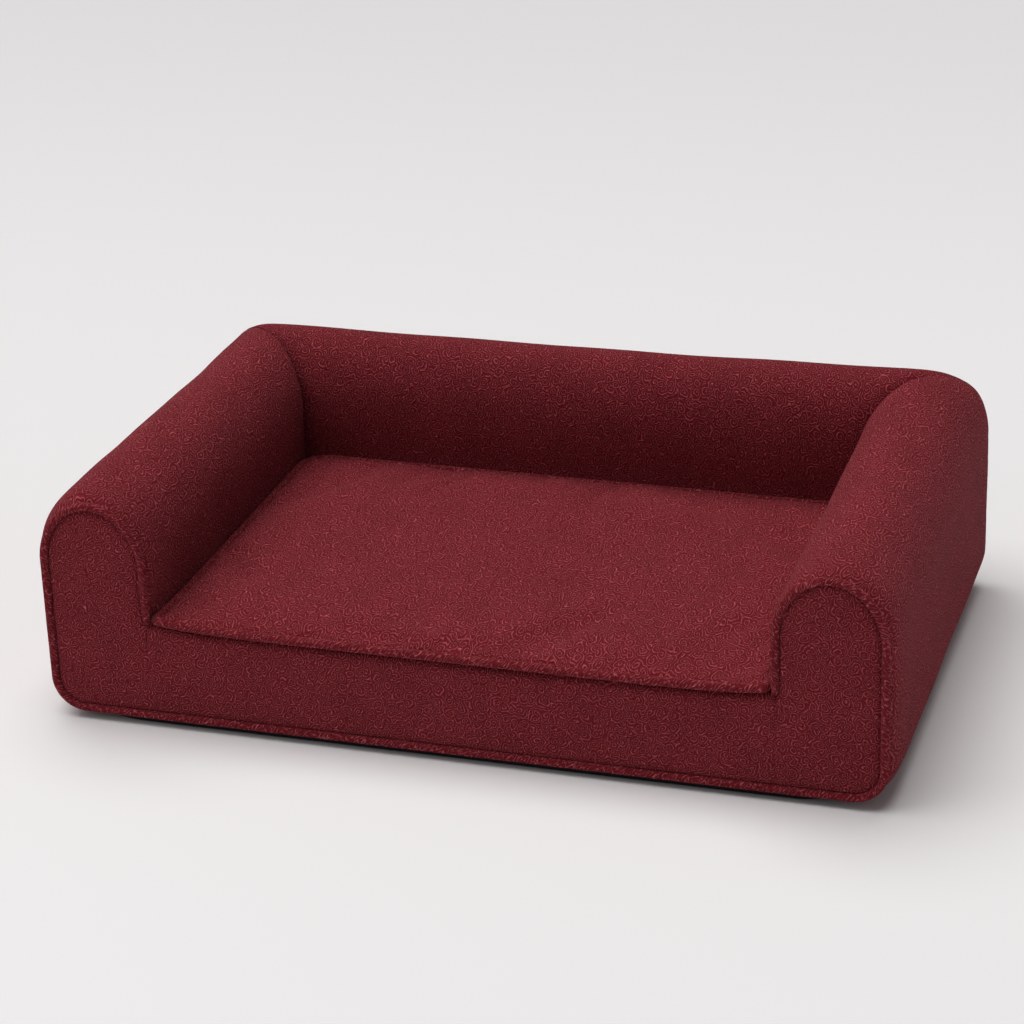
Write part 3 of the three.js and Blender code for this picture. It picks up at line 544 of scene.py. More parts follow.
def even_points(points, step):
    """The same line with points at even distances."""
    along = lengths_along(points)
    count = max(2, int(round(along[-1] / step)) + 1)
    wanted = np.linspace(0, along[-1], count)
    return np.stack([np.interp(wanted, along, points[:, k]) for k in range(points.shape[1])], -1)


def unevenness(a, b, seed, height, wave, waves=7):
    """Slow swells such as hand-filled cloth has: a few plane waves in chosen directions."""
    luck = np.random.RandomState(seed)
    total = np.zeros(np.broadcast(a, b).shape)
    for _ in range(waves):
        heading, start = luck.uniform(0, 2 * math.pi, 2)
        length = wave * luck.uniform(0.6, 1.6)
        total += np.sin(2 * math.pi * (a * math.cos(heading) + b * math.sin(heading)) / length + start)
    return height * total / math.sqrt(2 * waves) / 1.4


def settle(distance, reach):
    """0 at a seam, rising to 1 over about reach."""
    return 1 - np.exp(-np.maximum(distance, 0) / reach)


def smooth_step(value, low, high):
    x = np.clip((value - low) / (high - low), 0, 1)
    return x * x * (3 - 2 * x)


def blend(first, second, share):
    return first * (1 - share) + second * share


def distance_to_line(points, line, closed=False):
    """Distance in a plane from each point to a line of points."""
    start = line if closed else line[:-1]
    end = np.roll(line, -1, axis=0) if closed else line[1:]
    run = end - start
    squared = np.maximum((run**2).sum(1), 1e-18)
    best = np.full(len(points), np.inf)
    for a, d, n in zip(start, run, squared):
        t = np.clip(((points - a) @ d) / n, 0, 1)
        best = np.minimum(best, np.hypot(*(points - a - t[:, None] * d).T))
    return best


def sheet_inside(outline, spacing, rows=(), rows_reach=0.0):
    """Points, spacing apart, and triangles that fill a closed outline.

    rows holds further points near the edge, no farther in than rows_reach.
    """
    low, high = outline.min(0), outline.max(0)
    xs = np.arange(low[0] + spacing / 2, high[0], spacing)
    ys = np.arange(low[1] + spacing / 2, high[1], spacing)
    lattice = np.array([(x + (spacing / 2 if j % 2 else 0), y) for j, y in enumerate(ys) for x in xs])
    lattice = lattice[distance_to_line(lattice, outline, closed=True) > rows_reach + spacing * 0.45]
    points = [Vector(p) for part in (outline, rows, lattice) for p in part]
    edges = [(i, (i + 1) % len(outline)) for i in range(len(outline))]
    filled = delaunay_2d_cdt(points, edges, [], 1, 1e-7)
    return np.array([tuple(p) for p in filled[0]]), np.array(filled[2])


print("helpers ready")

# %% [markdown]
# ## The outline of a bolster
# All three bolsters have one kind of section: a straight inner wall, a rounded top like half an
# ellipse, a straight outer wall, a rounded foot and a short hem turned in under it. Each stretch always
# gets the same number of points, so that an arm and the back, whose widths differ, still meet point to
# point along their mitred seam.

# %% Bolster outline and front outline
WALL_POINTS, ARCH_POINTS, OUTER_POINTS, FOOT_POINTS, HEM_POINTS = 30, 64, 44, 14, 3
HEM_WIDTH = 0.008
SEAT_CORNER_LIFT, SEAT_CORNER_REACH = 0.006, 0.035
SHOULDER_Z = ARM_TOP - ARCH_RISE


def bolster_outline(width, top, inset=0.0, inner_z=deck_low.z, foot_width=FOOT_RADIUS):
    """Points (u, z) and outward directions of a bolster's section; u is 0 at its outer face.

    The foot sags by COVER_HANG, and the hem climbs back to the solid's underside.
    """
    shoulder = top - ARCH_RISE
    foot_z = UNDERSIDE + FOOT_RADIUS
    arch = np.linspace(0, math.pi, ARCH_POINTS, endpoint=False)
    turn = np.linspace(math.pi, 1.5 * math.pi, FOOT_POINTS)
    rx, rz = width / 2 - inset, ARCH_RISE - inset
    hem = np.arange(1, HEM_POINTS + 1) / HEM_POINTS
    points = np.concatenate([
        stacked(width - inset, np.linspace(inner_z, shoulder, WALL_POINTS, endpoint=False)),
        stacked(width / 2 + rx * np.cos(arch), shoulder + rz * np.sin(arch)),
        stacked(inset, np.linspace(shoulder, foot_z, OUTER_POINTS, endpoint=False)),
        stacked(foot_width + (foot_width - inset) * np.cos(turn), foot_z + (FOOT_RADIUS - inset) * np.sin(turn)),
        stacked(foot_width + HEM_WIDTH * hem, UNDERSIDE + inset + COVER_HANG * hem**2),
    ])
    around = stacked(np.cos(arch) / rx, np.sin(arch) / rz)
    outward = np.concatenate([
        np.tile([1.0, 0.0], (WALL_POINTS, 1)),
        around / np.linalg.norm(around, axis=1, keepdims=True),
        np.tile([-1.0, 0.0], (OUTER_POINTS, 1)),
        stacked(np.cos(turn), np.sin(turn)),
        np.tile([0.0, -1.0], (HEM_POINTS, 1)),
    ])
    return points, outward


def corner_lift(x):
    """How far the seat's front seam is drawn up towards the arms."""
    return SEAT_CORNER_LIFT * np.exp(-(INNER_X - np.minimum(np.abs(x), INNER_X)) / SEAT_CORNER_REACH)


def seat_seam_z(x):
    return rail_high.z + corner_lift(x)


def front_outline(inset):
    """The front's closed outline, x and z, in four runs: left arm, floor, right arm and seat seam."""
    arm = bolster_outline(ARM_WIDTH, ARM_TOP, inset, seat_seam_z(INNER_X))[0][:-HEM_POINTS]
    left = arm - [HALF_WIDTH, 0]
    right = left[::-1] * [-1, 1]
    seat_x = np.linspace(INNER_X + inset, -INNER_X - inset, 220)[1:-1]
    bottom_x = np.linspace(left[-1, 0], right[0, 0], 260)[1:-1]
    return left, stacked(bottom_x, left[-1, 1]), right, stacked(seat_x, seat_seam_z(seat_x))


print("points round a bolster:", len(bolster_outline(ARM_WIDTH, ARM_TOP)[0]))

# %% [markdown]
# ## Mitred arms and back
# An upholsterer sews each arm to the back along a mitre, so the seam climbs from the corner of the
# well, crosses the rounded top and runs down the outer corner. The filling pushes the cloth out
# everywhere but at the seams. Here each bolster is a grid of points on its section. It swells between
# its seams, dips where it is sewn, and has slow uneven swells as foam under cloth has. Its columns
# crowd towards both ends, where it bends most. The two arms are not filled alike, and each swell is
# given at the front and at the rear. At the front the cover turns into the groove behind the welt.

# %% Shared seam of an arm and the back
SEAM_DEPTH = 0.0020
STITCH_DIP, STITCH_SHAPE = 0.0042, 1.4
INNER_SWELL = (0.0020, 0.0062)
OUTER_SWELL = {-1: (0.0092, -0.0005), 1: (0.0060, 0.0022)}
BACK_SWELL = 0.0034
SEAM_REACH, FRONT_REACH = 0.007, 0.014
ARM_COLUMNS, ARM_CROWDING = 130, 0.13
FRONT_LAP = 0.003
GROOVE_DIP, GROOVE_REACH = 0.0060, 0.0046
PUCKER_REACH = 0.016
SEAM_FOOT = FOOT_RADIUS * BACK_WIDTH / ARM_WIDTH
MITRE = math.hypot(ARM_WIDTH, BACK_WIDTH)
SETTLED, STUFFED = -0.0012, 0.0088
LEAN_STARTS, LEAN_FULL = BACK_Y - 0.26, BACK_Y - 0.04
SWELL_STARTS, SWELL_FULL = SEAT_WELT_Z - 0.004, SEAT_WELT_Z + 0.05
BOLSTER_CLOTH = 0.0008


def filled(points):
    """The same points with the filling's own lean: the rear stands fuller towards the right end."""
    x, y, z = points[..., 0], points[..., 1], points[..., 2]
    rear = smooth_step(y, LEAN_STARTS, LEAN_FULL)
    fullness = (SETTLED + STUFFED * np.clip(x / HALF_WIDTH / 2 + 0.5, 0, 1) ** 3) * rear
    return stacked(x, y, z + fullness * smooth_step(z, SHOULDER_Z, ARM_TOP - 0.02))


def mitre_seam(side):
    """Where the arm and the back meet, and how far the stitches draw that line in."""
    arm, arm_out = bolster_outline(ARM_WIDTH, BACK_TOP)
    back, back_out = bolster_outline(BACK_WIDTH, BACK_TOP, foot_width=SEAM_FOOT)
    points = stacked(side * (HALF_WIDTH - arm[:, 0]), BACK_Y - back[:, 0], arm[:, 1])
    out = stacked(-side * arm_out[:, 0], -back_out[:, 0], arm_out[:, 1] + back_out[:, 1])
    return points, -SEAM_DEPTH * out / np.linalg.norm(out, axis=1, keepdims=True)


def section_swell(points, width):
    """How much of the swell each point of a section gets: none below the seat, a little at the foot."""
    above_seat = smooth_step(points[:, 1], SWELL_STARTS, SWELL_FULL)
    outer = smooth_step(points[:, 1], UNDERSIDE - 0.01, UNDERSIDE + 0.03)
    return np.where(points[:, 0] > width / 2, above_seat, outer)[:, None]


def sewn(base, lift, out, from_seam, drawn_in):
    """Lifts a grid of points off its section, draws it in at the mitre and stops it at the hem."""
    dip = np.exp(-((from_seam / STITCH_DIP) ** STITCH_SHAPE))[..., None]
    points = filled(base) + lift[..., None] * out[:, None, :] + dip * drawn_in
    points[..., 2] = np.maximum(points[..., 2], UNDERSIDE)
    return points


def arm_cover(side, seed):
    outline, outward = bolster_outline(ARM_WIDTH, ARM_TOP)
    seam, drawn_in = mitre_seam(side)
    seam_x, seam_y, seam_z = (seam[:, axis][:, None] for axis in range(3))
    front_y = COVER_FRONT_Y - FRONT_LAP
    spread = np.linspace(0, 1, ARM_COLUMNS)
    spread = spread - ARM_CROWDING * np.sin(2 * math.pi * spread)
    y = front_y + (seam_y - front_y) * spread
    from_seam = np.maximum(seam_y - y, 0) * ARM_WIDTH / MITRE
    from_front = y - front_y
    s = lengths_along(outline)[:, None]
    is_inner = smooth_step(outline[:, 0], 0.3 * ARM_WIDTH, 0.7 * ARM_WIDTH)[:, None]
    at_front, at_rear = (blend(b, a, is_inner) for a, b in zip(INNER_SWELL, OUTER_SWELL[side]))
    amount = at_front + (at_rear - at_front) * from_front / (BACK_Y - front_y)
    free = settle(from_seam, SEAM_REACH) * settle(from_front, FRONT_REACH)
    lift = section_swell(outline, ARM_WIDTH) * amount + unevenness(s, y, seed, height=0.0007, wave=0.11)
    puckers = unevenness(s, y * 0.2, seed + 1, height=0.0005, wave=PUCKER_REACH)
    lift = free * (lift + np.exp(-from_seam / PUCKER_REACH) * puckers)
    lift -= GROOVE_DIP * np.exp(-from_front / GROOVE_REACH)
    out = stacked(-side * outward[:, 0], 0.0, outward[:, 1])
    base = stacked(seam_x, y, blend(seam_z, outline[:, 1][:, None], smooth_step(from_seam, 0.0, 0.1)))
    points = sewn(base, lift, out, from_seam, drawn_in[:, None, :])
    name = "arm_cover_soft_right" if side > 0 else "arm_cover_soft_left"
    faces = grid_faces(*y.shape, flip=side < 0)
    return cloth_object(name, points, faces, stacked(s, side * y), long_cover_cloth, BOLSTER_CLOTH)


mount(arm_cover(-1, 11), "frame", "arm_cover_left")
mount(arm_cover(1, 23), "frame", "arm_cover_right")

# %% [markdown]
# ## The back bolster
# The back is the same kind of piece run from mitre to mitre. It stands a few millimetres higher than
# the arms in the middle. Low on its outer side the cover is left open in a straight slot, and the zip
# is sewn in behind the two folded edges. The cloth is kept calm round the zip.

# %% Back cover with its slot
SLOT_HALF = 0.0058
TAPE_PAST_SLOT = 0.006
EDGE_FOLD, FOLD_REACH = 0.0009, 0.008
BACK_COLUMNS, BACK_CROWDING = 260, 0.24
OWN_SECTION_FROM = 0.07
CALM_FROM, CALM_TO = 0.03, 0.12
LOW_WALL_TO = 0.12


def zip_place(zip_name):
    """The height of a zip, and how far its slot reaches from the middle of the bed."""
    low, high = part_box(zip_name + "_tape_lower")[0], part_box(zip_name + "_tape_upper")[1]
    return (low.z + high.z) / 2, high.x - TAPE_PAST_SLOT


def open_slot(points, faces, zip_z, end, in_front):
    """The faces without those inside the slot of a zip."""
    x, y, z = points.reshape(-1, 3)[faces].mean(1).T
    in_slot = (np.abs(x) < end) & (np.abs(z - zip_z) < SLOT_HALF) & (y > in_front)
    print("slot faces left out:", int(in_slot.sum()))
    return faces[~in_slot]


ZIP_Z, ZIP_END = zip_place("cover_zip")


def back_cover():
    own, own_out = bolster_outline(BACK_WIDTH, BACK_TOP)
    at_seam = bolster_outline(BACK_WIDTH, BACK_TOP, foot_width=SEAM_FOOT)[0]
    outer = (own[:, 0] < TOUCHING) & (own[:, 1] < LOW_WALL_TO)
    for edge in (ZIP_Z - SLOT_HALF, ZIP_Z + SLOT_HALF):
        nearest = np.flatnonzero(outer)[np.argmin(np.abs(own[outer, 1] - edge))]
        own[nearest, 1] = at_seam[nearest, 1] = edge
    spread = np.linspace(-1, 1, BACK_COLUMNS)
    spread = spread + BACK_CROWDING * np.sin(math.pi * spread)
    reach = (HALF_WIDTH - at_seam[:, 0] * ARM_WIDTH / BACK_WIDTH)[:, None]
    x = reach * spread
    for end in (-ZIP_END, ZIP_END):
        nearest = int(np.argmin(np.abs(x[np.flatnonzero(outer)[0]] - end)))
        x[:, nearest] = np.where(outer, end, x[:, nearest])
    from_seam = np.maximum(reach - np.abs(x), 0) * BACK_WIDTH / MITRE
    own_share = smooth_step(from_seam, 0.0, OWN_SECTION_FROM)
    v, z = (blend(at_seam[:, k][:, None], own[:, k][:, None], own_share) for k in range(2))
    s = lengths_along(own)[:, None]
    above_zip = smooth_step(own[:, 1] - ZIP_Z, CALM_FROM, CALM_TO)
    free = np.where(own[:, 0] < BACK_WIDTH / 2, above_zip, 1.0)[:, None] * settle(from_seam, SEAM_REACH)
    lift = free * (BACK_SWELL * section_swell(own, BACK_WIDTH) + unevenness(s, x, 41, height=0.0006, wave=0.13))
    near_zip = np.exp(-np.abs(np.abs(z - ZIP_Z) - SLOT_HALF) / FOLD_REACH) * (np.abs(x) < ZIP_END + 0.01)
    lift += np.where(outer[:, None], EDGE_FOLD * near_zip, 0)
    out = stacked(0.0, -own_out[:, 0], own_out[:, 1])
    drawn_in = mitre_seam(1)[1][:, None, :] * stacked(np.sign(x), 1.0, 1.0)
    points = sewn(stacked(x, BACK_Y - v, z), lift, out, from_seam, drawn_in)
    faces = open_slot(points, grid_faces(*x.shape), ZIP_Z, ZIP_END, BACK_Y - 0.02)
    return cloth_object("back_cover_soft", points, faces, stacked(s, x), cover_cloth, BOLSTER_CLOTH)


mount(back_cover(), "frame", "back_cover")

# %% [markdown]
# ## The front
# The front is three flat-sewn panels: a rounded arm front on each side and a low one between. They lie
# on wadding, so they sit a little proud in the middle and run down into the groove behind the welt. The
# two upright seams start at the seat corners and die away towards the floor.

# %% Front panels
GROOVE, GROOVE_WIDTH = 0.0072, 0.0022
PANEL_INSET = 0.0046
PANEL_LEVEL = 0.0030
ROW_DEPTHS = (0.0010, 0.0024)
FRONT_CROWN, CROWN_WIDTH = 0.0025, 0.03
SEAM_AT_FOOT, SEAM_AT_TOP, SEAM_WIDTH = 0.0002, 0.0010, 0.0010
CORNER_DIP, CORNER_REACH = 0.0012, 0.008
PANEL_CLOTH, PANEL_SPACING = 0.0014, 0.0036
PANEL_SEAM_X = INNER_X + PANEL_INSET


def front_surface_y(points, outline):
    """How far forward the front cloth lies at each x, z."""
    edge = distance_to_line(points, outline, closed=True)
    y = FRONT_Y + PANEL_LEVEL + GROOVE * np.exp(-edge / GROOVE_WIDTH) - FRONT_CROWN * settle(edge, CROWN_WIDTH)
    beside, corner_z = np.abs(points[:, 0]) - PANEL_SEAM_X, seat_seam_z(INNER_X)
    high = smooth_step(points[:, 1], UNDERSIDE + 0.02, corner_z)
    y += (SEAM_AT_FOOT + SEAM_AT_TOP * high**3) * np.exp(-np.abs(beside) / SEAM_WIDTH)
    y += CORNER_DIP * np.exp(-np.hypot(beside, points[:, 1] - corner_z) / CORNER_REACH)
    return y - settle(edge, 0.02) * unevenness(*points.T, 7, height=0.0006, wave=0.12)


def rows_within(rows, place, foot_z):
    """The points of rows that belong to one panel: left, right or middle."""
    clear = ROW_DEPTHS[0] / 2
    x, z = rows.T
    beyond = np.abs(x) > PANEL_SEAM_X + clear
    inside = {"left": beyond & (x < 0), "right": beyond & (x > 0), "middle": np.abs(x) < PANEL_SEAM_X - clear}[place]
    return rows[inside & (z > foot_z + clear)]


def front_panels():
    left, bottom, right, seat = front_outline(PANEL_INSET)
    whole = np.concatenate([left, bottom, right, seat])
    foot_z = left[-1, 1]
    foot = np.array([[-PANEL_SEAM_X, foot_z]])
    upright = stacked(-PANEL_SEAM_X, np.linspace(foot_z, left[0, 1], 32)[1:-1])
    mirrored = [-1, 1]
    left_panel = np.concatenate([left, bottom[bottom[:, 0] < -PANEL_SEAM_X], foot, upright])
    middle_foot = bottom[np.abs(bottom[:, 0]) < PANEL_SEAM_X]
    middle = np.concatenate([
        foot, middle_foot, foot * mirrored, upright * mirrored, right[-1:], seat, left[:1], upright[::-1]
    ])
    rows = []
    for depth in ROW_DEPTHS:
        drawn_in = front_outline(PANEL_INSET + depth)
        rows += [*drawn_in[:3], drawn_in[3] - [0, depth]]
        rows += [upright * [side, 1] + [side * depth * way, 0] for side in (1, -1) for way in (1, -1)]
    rows = np.concatenate(rows)
    for place, outline in (("left", left_panel), ("right", left_panel[::-1] * mirrored), ("middle", middle)):
        flat, faces = sheet_inside(outline, PANEL_SPACING, rows_within(rows, place, foot_z), ROW_DEPTHS[-1])
        points = stacked(flat[:, 0], front_surface_y(flat, whole), flat[:, 1])
        elsewhere = flat + [3.0, 1.0]
        made = cloth_object(f"front_panel_soft_{place}", points, faces, elsewhere, cover_cloth, PANEL_CLOTH)
        turn_towards(made, (0, -1, 0))
        mount(made, "frame", f"front_panel_{place}")


front_panels()

# %% [markdown]
# ## Welts
# A welt, or piping, is a cord wrapped in a bias strip and caught in the seam. A tube follows the seam's
# path. Its cloth place runs along and round it, and the material turns the pattern by 40 degrees, close
# to a bias cut pulled tight. The tube varies a little in thickness, and its ends are drawn in where
# they are tucked behind the seat.

# %% Welt tube
WELT_RADIUS = 0.0040
WELT_SIDES = 16
WELT_STEP = 0.003
WELT_TUCK, TUCKED_SHARE = 0.012, 0.75
END_DIP, END_REACH = 0.0012, 0.006


def seal(made):
    """Joins points that share a place, closes open ends and faces everything outwards."""
    work = bmesh.new()
    work.from_mesh(made.data)
    bmesh.ops.remove_doubles(work, verts=work.verts, dist=TOUCHING)
    open_edges = [e for e in work.edges if e.is_boundary]
    if open_edges:
        bmesh.ops.holes_fill(work, edges=open_edges, sides=0)
    bmesh.ops.recalc_face_normals(work, faces=work.faces)
    work.to_mesh(made.data)
    work.free()


def sides_along(ahead, closed):
    """A sideways direction at each point of a path, carried along without twisting."""
    side = np.zeros_like(ahead)
    side[0] = np.cross(ahead[0], [0, 1, 0] if abs(ahead[0][1]) < 0.9 else [0, 0, 1])
    for i in range(len(ahead)):
        if i:
            side[i] = side[i - 1] - ahead[i] * (side[i - 1] @ ahead[i])
        side[i] /= np.linalg.norm(side[i])
    if closed:
        lost = math.atan2(np.cross(side[-1], side[0]) @ ahead[0], side[-1] @ side[0])
        turn = (lost * np.arange(len(ahead)) / len(ahead))[:, None]
        side = side * np.cos(turn) + np.cross(ahead, side) * np.sin(turn)
    return side


def welt_tube(name, path, closed, seed, radius=WELT_RADIUS, tuck=0.0):
    ahead = np.roll(path, -1, axis=0) - np.roll(path, 1, axis=0) if closed else np.gradient(path, axis=0)
    ahead /= np.linalg.norm(ahead, axis=1, keepdims=True)
    side = sides_along(ahead, closed)
    along = lengths_along(path)
    thick = radius * (1 + unevenness(along, 0 * along, seed, height=0.03, wave=0.02))
    if tuck:
        from_end = np.minimum(along, along[-1] - along)
        thick = thick * blend(TUCKED_SHARE, 1, smooth_step(from_end, 0, tuck))
    angle = np.linspace(0, 2 * math.pi, WELT_SIDES + 1)
    round_it = angle[None, :, None]
    ring = np.cos(round_it) * side[:, None, :] + np.sin(round_it) * np.cross(ahead, side)[:, None, :]
    points = path[:, None, :] + thick[:, None, None] * ring
    faces = grid_faces(len(path), WELT_SIDES + 1, wrap_rows=closed, flip=True)
    made = cloth_object(name, points, faces, stacked(along[:, None], angle[None, :] * radius), welt_cloth)
    seal(made)
    return made


def front_welt_path():
    left, bottom, right, _ = front_outline(WELT_RADIUS - 0.0002)
    line = even_points(np.concatenate([left, bottom, right]), WELT_STEP)
    count = np.arange(len(line))
    from_end = np.minimum(count, count[::-1]) * WELT_STEP
    return stacked(line[:, 0], FRONT_Y + WELT_RADIUS + END_DIP * np.exp(-from_end / END_REACH), line[:, 1])


front_piping = welt_tube("front_welt_cord", front_welt_path(), False, 5, tuck=WELT_TUCK)
mount(front_piping, "frame", "front_welt")

# %% [markdown]
# ## The loose cushion
# The cushion is boxed: a top panel and a lining underneath are joined by an upright border, with a
# welt in the upper seam. At the front the top reaches past the border as a lip that lies on the front
# rail, so the welt shows as one line right across the seat. Four rounded corners give each loop the
# same count of points, so the loops can be joined like hoops.

# %% Cushion loops
CUSHION_REAR_RADIUS, CUSHION_FRONT_RADIUS, RING_FRONT_RADIUS = 0.026, 0.005, 0.002
LIFT_REACH = 0.045
LIP_UNDER = rail_high.z + 0.0006
CUSHION_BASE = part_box("cushion_underside")[0].z
RING_HALF = ring_high.x - WELT / 2
RING_FRONT, RING_REAR = ring_low.y + WELT / 2, ring_high.y - WELT / 2
OFF_FOAM = 0.0023
BORDER_HALF = border_high.x + OFF_FOAM
BORDER_FRONT, BORDER_REAR = border_low.y - OFF_FOAM, border_high.y + OFF_FOAM


def rounded_loop(half, front, rear, front_radius, rear_radius, counts=(190, 10, 130, 16)):
    """A closed outline in plan, counter-clockwise from the front left.

    counts gives the points of the front, a front corner, a side and a rear corner.
    """
    across, front_turn, along, rear_turn = counts
    corners = (
        (half - front_radius, front + front_radius, front_radius, -90, front_turn, across),
        (half - rear_radius, rear - rear_radius, rear_radius, 0, rear_turn, along),
        (-half + rear_radius, rear - rear_radius, rear_radius, 90, rear_turn, across),
        (-half + front_radius, front + front_radius, front_radius, 180, front_turn, along),
    )
    parts = []
    last = np.array([-half + front_radius, front])
    for x, y, radius, start, turn, straight in corners:
        angle = np.radians(start + np.linspace(0, 90, turn))
        bend = stacked(x + radius * np.cos(angle), y + radius * np.sin(angle))
        parts += [np.linspace(last, bend[0], straight, endpoint=False), bend[:-1]]
        last = bend[-1]
    return np.concatenate(parts)


def ring_lift(points):
    """The corners of the seat are drawn up where the front seam meets the arms."""
    return corner_lift(points[:, 0]) * np.exp(-(points[:, 1] - RING_FRONT) / LIFT_REACH)


ring = rounded_loop(RING_HALF, RING_FRONT, RING_REAR, RING_FRONT_RADIUS, CUSHION_REAR_RADIUS)
border = rounded_loop(BORDER_HALF, BORDER_FRONT, BORDER_REAR, CUSHION_FRONT_RADIUS, CUSHION_REAR_RADIUS)
print("points round the cushion:", len(ring))

# %% [markdown]
# The welt is a closed tube along the upper seam. Where the front seam nears the arms it climbs a few
# millimetres, because the cover is pulled up there.

# %% Cushion welt
SEAT_WELT_RADIUS = 0.0045
SEAT_WELT_LIFT = 0.0006
ring_path = stacked(ring[:, 0], ring[:, 1], SEAT_WELT_Z + SEAT_WELT_LIFT + ring_lift(ring))
ring_path = even_points(np.concatenate([ring_path, ring_path[:1]]), WELT_STEP)[:-1]
cushion_piping = welt_tube("cushion_welt_cord", ring_path, True, 9, radius=SEAT_WELT_RADIUS)
mount(cushion_piping, "cushion", "cushion_welt")

# %% [markdown]
# The top panel is cut a little larger than the seam round it, which leaves room for the foam to crown
# it. A cloth simulation finds its shape: the edge is pinned in the seam, a light pressure stands for
# the foam, and the extra cloth settles as soft fullness near the seams. No point may move more than a
# few millimetres from the drawn crown, or sink more than one below it.

# %% Cushion top
SEAT_CROWN, CROWN_REACH = 0.009, 0.024
EDGE_RISE, EDGE_REACH = 0.0032, 0.0036
GATHERS, GATHER_HEIGHT, GATHER_REACH = 14, 0.0016, 0.010
TOP_EDGE_TUCK = 0.0012
TOP_ROWS = (0.0022, 0.0046)
TOP_CLOTH, TOP_SPACING = 0.001, 0.0068
CLOTH_FEEL = {
    "quality": 6, "mass": 0.25, "tension_stiffness": 25, "compression_stiffness": 25, "shear_stiffness": 12,
    "bending_stiffness": 2.0, "tension_damping": 25, "vertex_group_mass": "seam", "use_pressure": True,
}
PRESSURE = 0.35
EXTRA_CLOTH = 0.012
SETTLE_FRAMES = 20
MOST_MOVED, MOST_SUNK = 0.004, 0.0010


def settle_cloth(made, edge_count):
    """Runs a cloth simulation on the object's mesh with its first points pinned, and keeps the result."""
    start = np.zeros(len(made.data.vertices) * 3)
    made.data.vertices.foreach_get("co", start)
    pinned = made.vertex_groups.new(name="seam")
    pinned.add(list(range(edge_count)), 1.0, "REPLACE")
    cloth = made.modifiers.new("cloth", "CLOTH")
    for key, value in CLOTH_FEEL.items():
        setattr(cloth.settings, key, value)
    cloth.settings.shrink_min = -EXTRA_CLOTH
    cloth.settings.uniform_pressure_force = PRESSURE
    cloth.settings.effector_weights.gravity = 0
    cloth.point_cache.frame_start = 1
    cloth.point_cache.frame_end = SETTLE_FRAMES
    for frame_number in range(1, SETTLE_FRAMES + 1):
        bpy.context.scene.frame_set(frame_number)
    seen = made.evaluated_get(bpy.context.evaluated_depsgraph_get())
    ended = np.zeros_like(start)
    seen.data.vertices.foreach_get("co", ended)
    made.modifiers.remove(cloth)
    made.vertex_groups.remove(pinned)
    bpy.context.scene.frame_set(1)
    moved = (ended - start).reshape(-1, 3)
    length = np.linalg.norm(moved, axis=1, keepdims=True)
    moved *= np.minimum(1, MOST_MOVED / np.maximum(length, 1e-9))
    moved[:, 2] = np.maximum(moved[:, 2], -MOST_SUNK)
    made.data.vertices.foreach_set("co", (start.reshape(-1, 3) + moved).ravel())
    made.data.update()
    print(made.name, "settled, most", round(float(length.max()) * 1000, 1), "mm")


def top_height(flat, edge):
    """The drawn crown: steep beside the welt, slow over the rest, with gathers at the front corners."""
    from_edge = distance_to_line(flat, edge, closed=True)
    height = SEAT_WELT_Z + SEAT_WELT_LIFT + ring_lift(flat) * np.exp(-from_edge / 0.03)
    height += EDGE_RISE * (1 - np.exp(-((from_edge / EDGE_REACH) ** 2)))
    height += (SEAT_CROWN - EDGE_RISE) * settle(from_edge, CROWN_REACH)
    height += settle(from_edge, 0.03) * unevenness(*flat.T, 31, height=0.0009, wave=0.16)
    corner_x, corner_y = RING_HALF - np.abs(flat[:, 0]), flat[:, 1] - RING_FRONT
    radius, angle = np.hypot(corner_x, corner_y), np.arctan2(corner_y, corner_x)
    gathers = np.cos(GATHERS * angle) * smooth_step(radius, 0.004, 0.009) * np.exp(-radius / GATHER_REACH)
    return height + GATHER_HEIGHT * gathers


def top_loop(inset):
    front_radius, rear_radius = max(RING_FRONT_RADIUS - inset, 0.0006), CUSHION_REAR_RADIUS - inset
    sides = RING_HALF - inset, RING_FRONT + inset, RING_REAR - inset
    return rounded_loop(*sides, front_radius, rear_radius, (84, 6, 58, 8))


def cushion_top():
    edge = top_loop(TOP_EDGE_TUCK)
    rows = np.concatenate([top_loop(TOP_EDGE_TUCK + row) for row in TOP_ROWS])
    flat, faces = sheet_inside(edge, TOP_SPACING, rows, TOP_ROWS[-1])
    points = np.column_stack([flat, top_height(flat, edge)])
    made = cloth_object("cushion_top", points, faces, flat, long_cover_cloth)
    turn_towards(made, (0, 0, 1))
    settle_cloth(made, len(edge))
    smooth = made.modifiers.new("finer cloth", "SUBSURF")
    smooth.levels = smooth.render_levels = 1
    thicken(made, TOP_CLOTH)
    return made


mount(cushion_top(), "cushion")

# %% [markdown]
# The border hangs from the welt. Under the lip it runs back to the rail, then down to the lining. At
# the rear it is open in a straight slot for the zip. The lining closes the cushion underneath.

# %% Cushion border and underside
LIP_SHARES = (0.12, 0.3, 0.5, 0.7, 0.88)
BELOW_WELT, LIP_CLEAR, WALL_CLEAR = 0.001, 0.0008, 0.003
CORNER_SPAN = 0.004
BORDER_BULGE = 0.0012
BASE_TUCK, TUCK_REACH = 0.0015, 0.003
BORDER_CLOTH, LINING_CLOTH = 0.0009, 0.0008
UNDER_INSET, UNDER_RAISED = 0.0014, 0.0004
LINING_SPACING = 0.012
CUSHION_ZIP_Z, CUSHION_ZIP_END = zip_place("cushion_zip")


def lip_loops():
    """Plan and height of the loops from the welt to the top of the border."""
    yield ring, SEAT_WELT_Z - BELOW_WELT + ring_lift(ring)
    for share in LIP_SHARES:
        rest = 1 - share
        yield ring + (border - ring) * share, LIP_UNDER + LIP_CLEAR * rest + ring_lift(ring) * rest**2


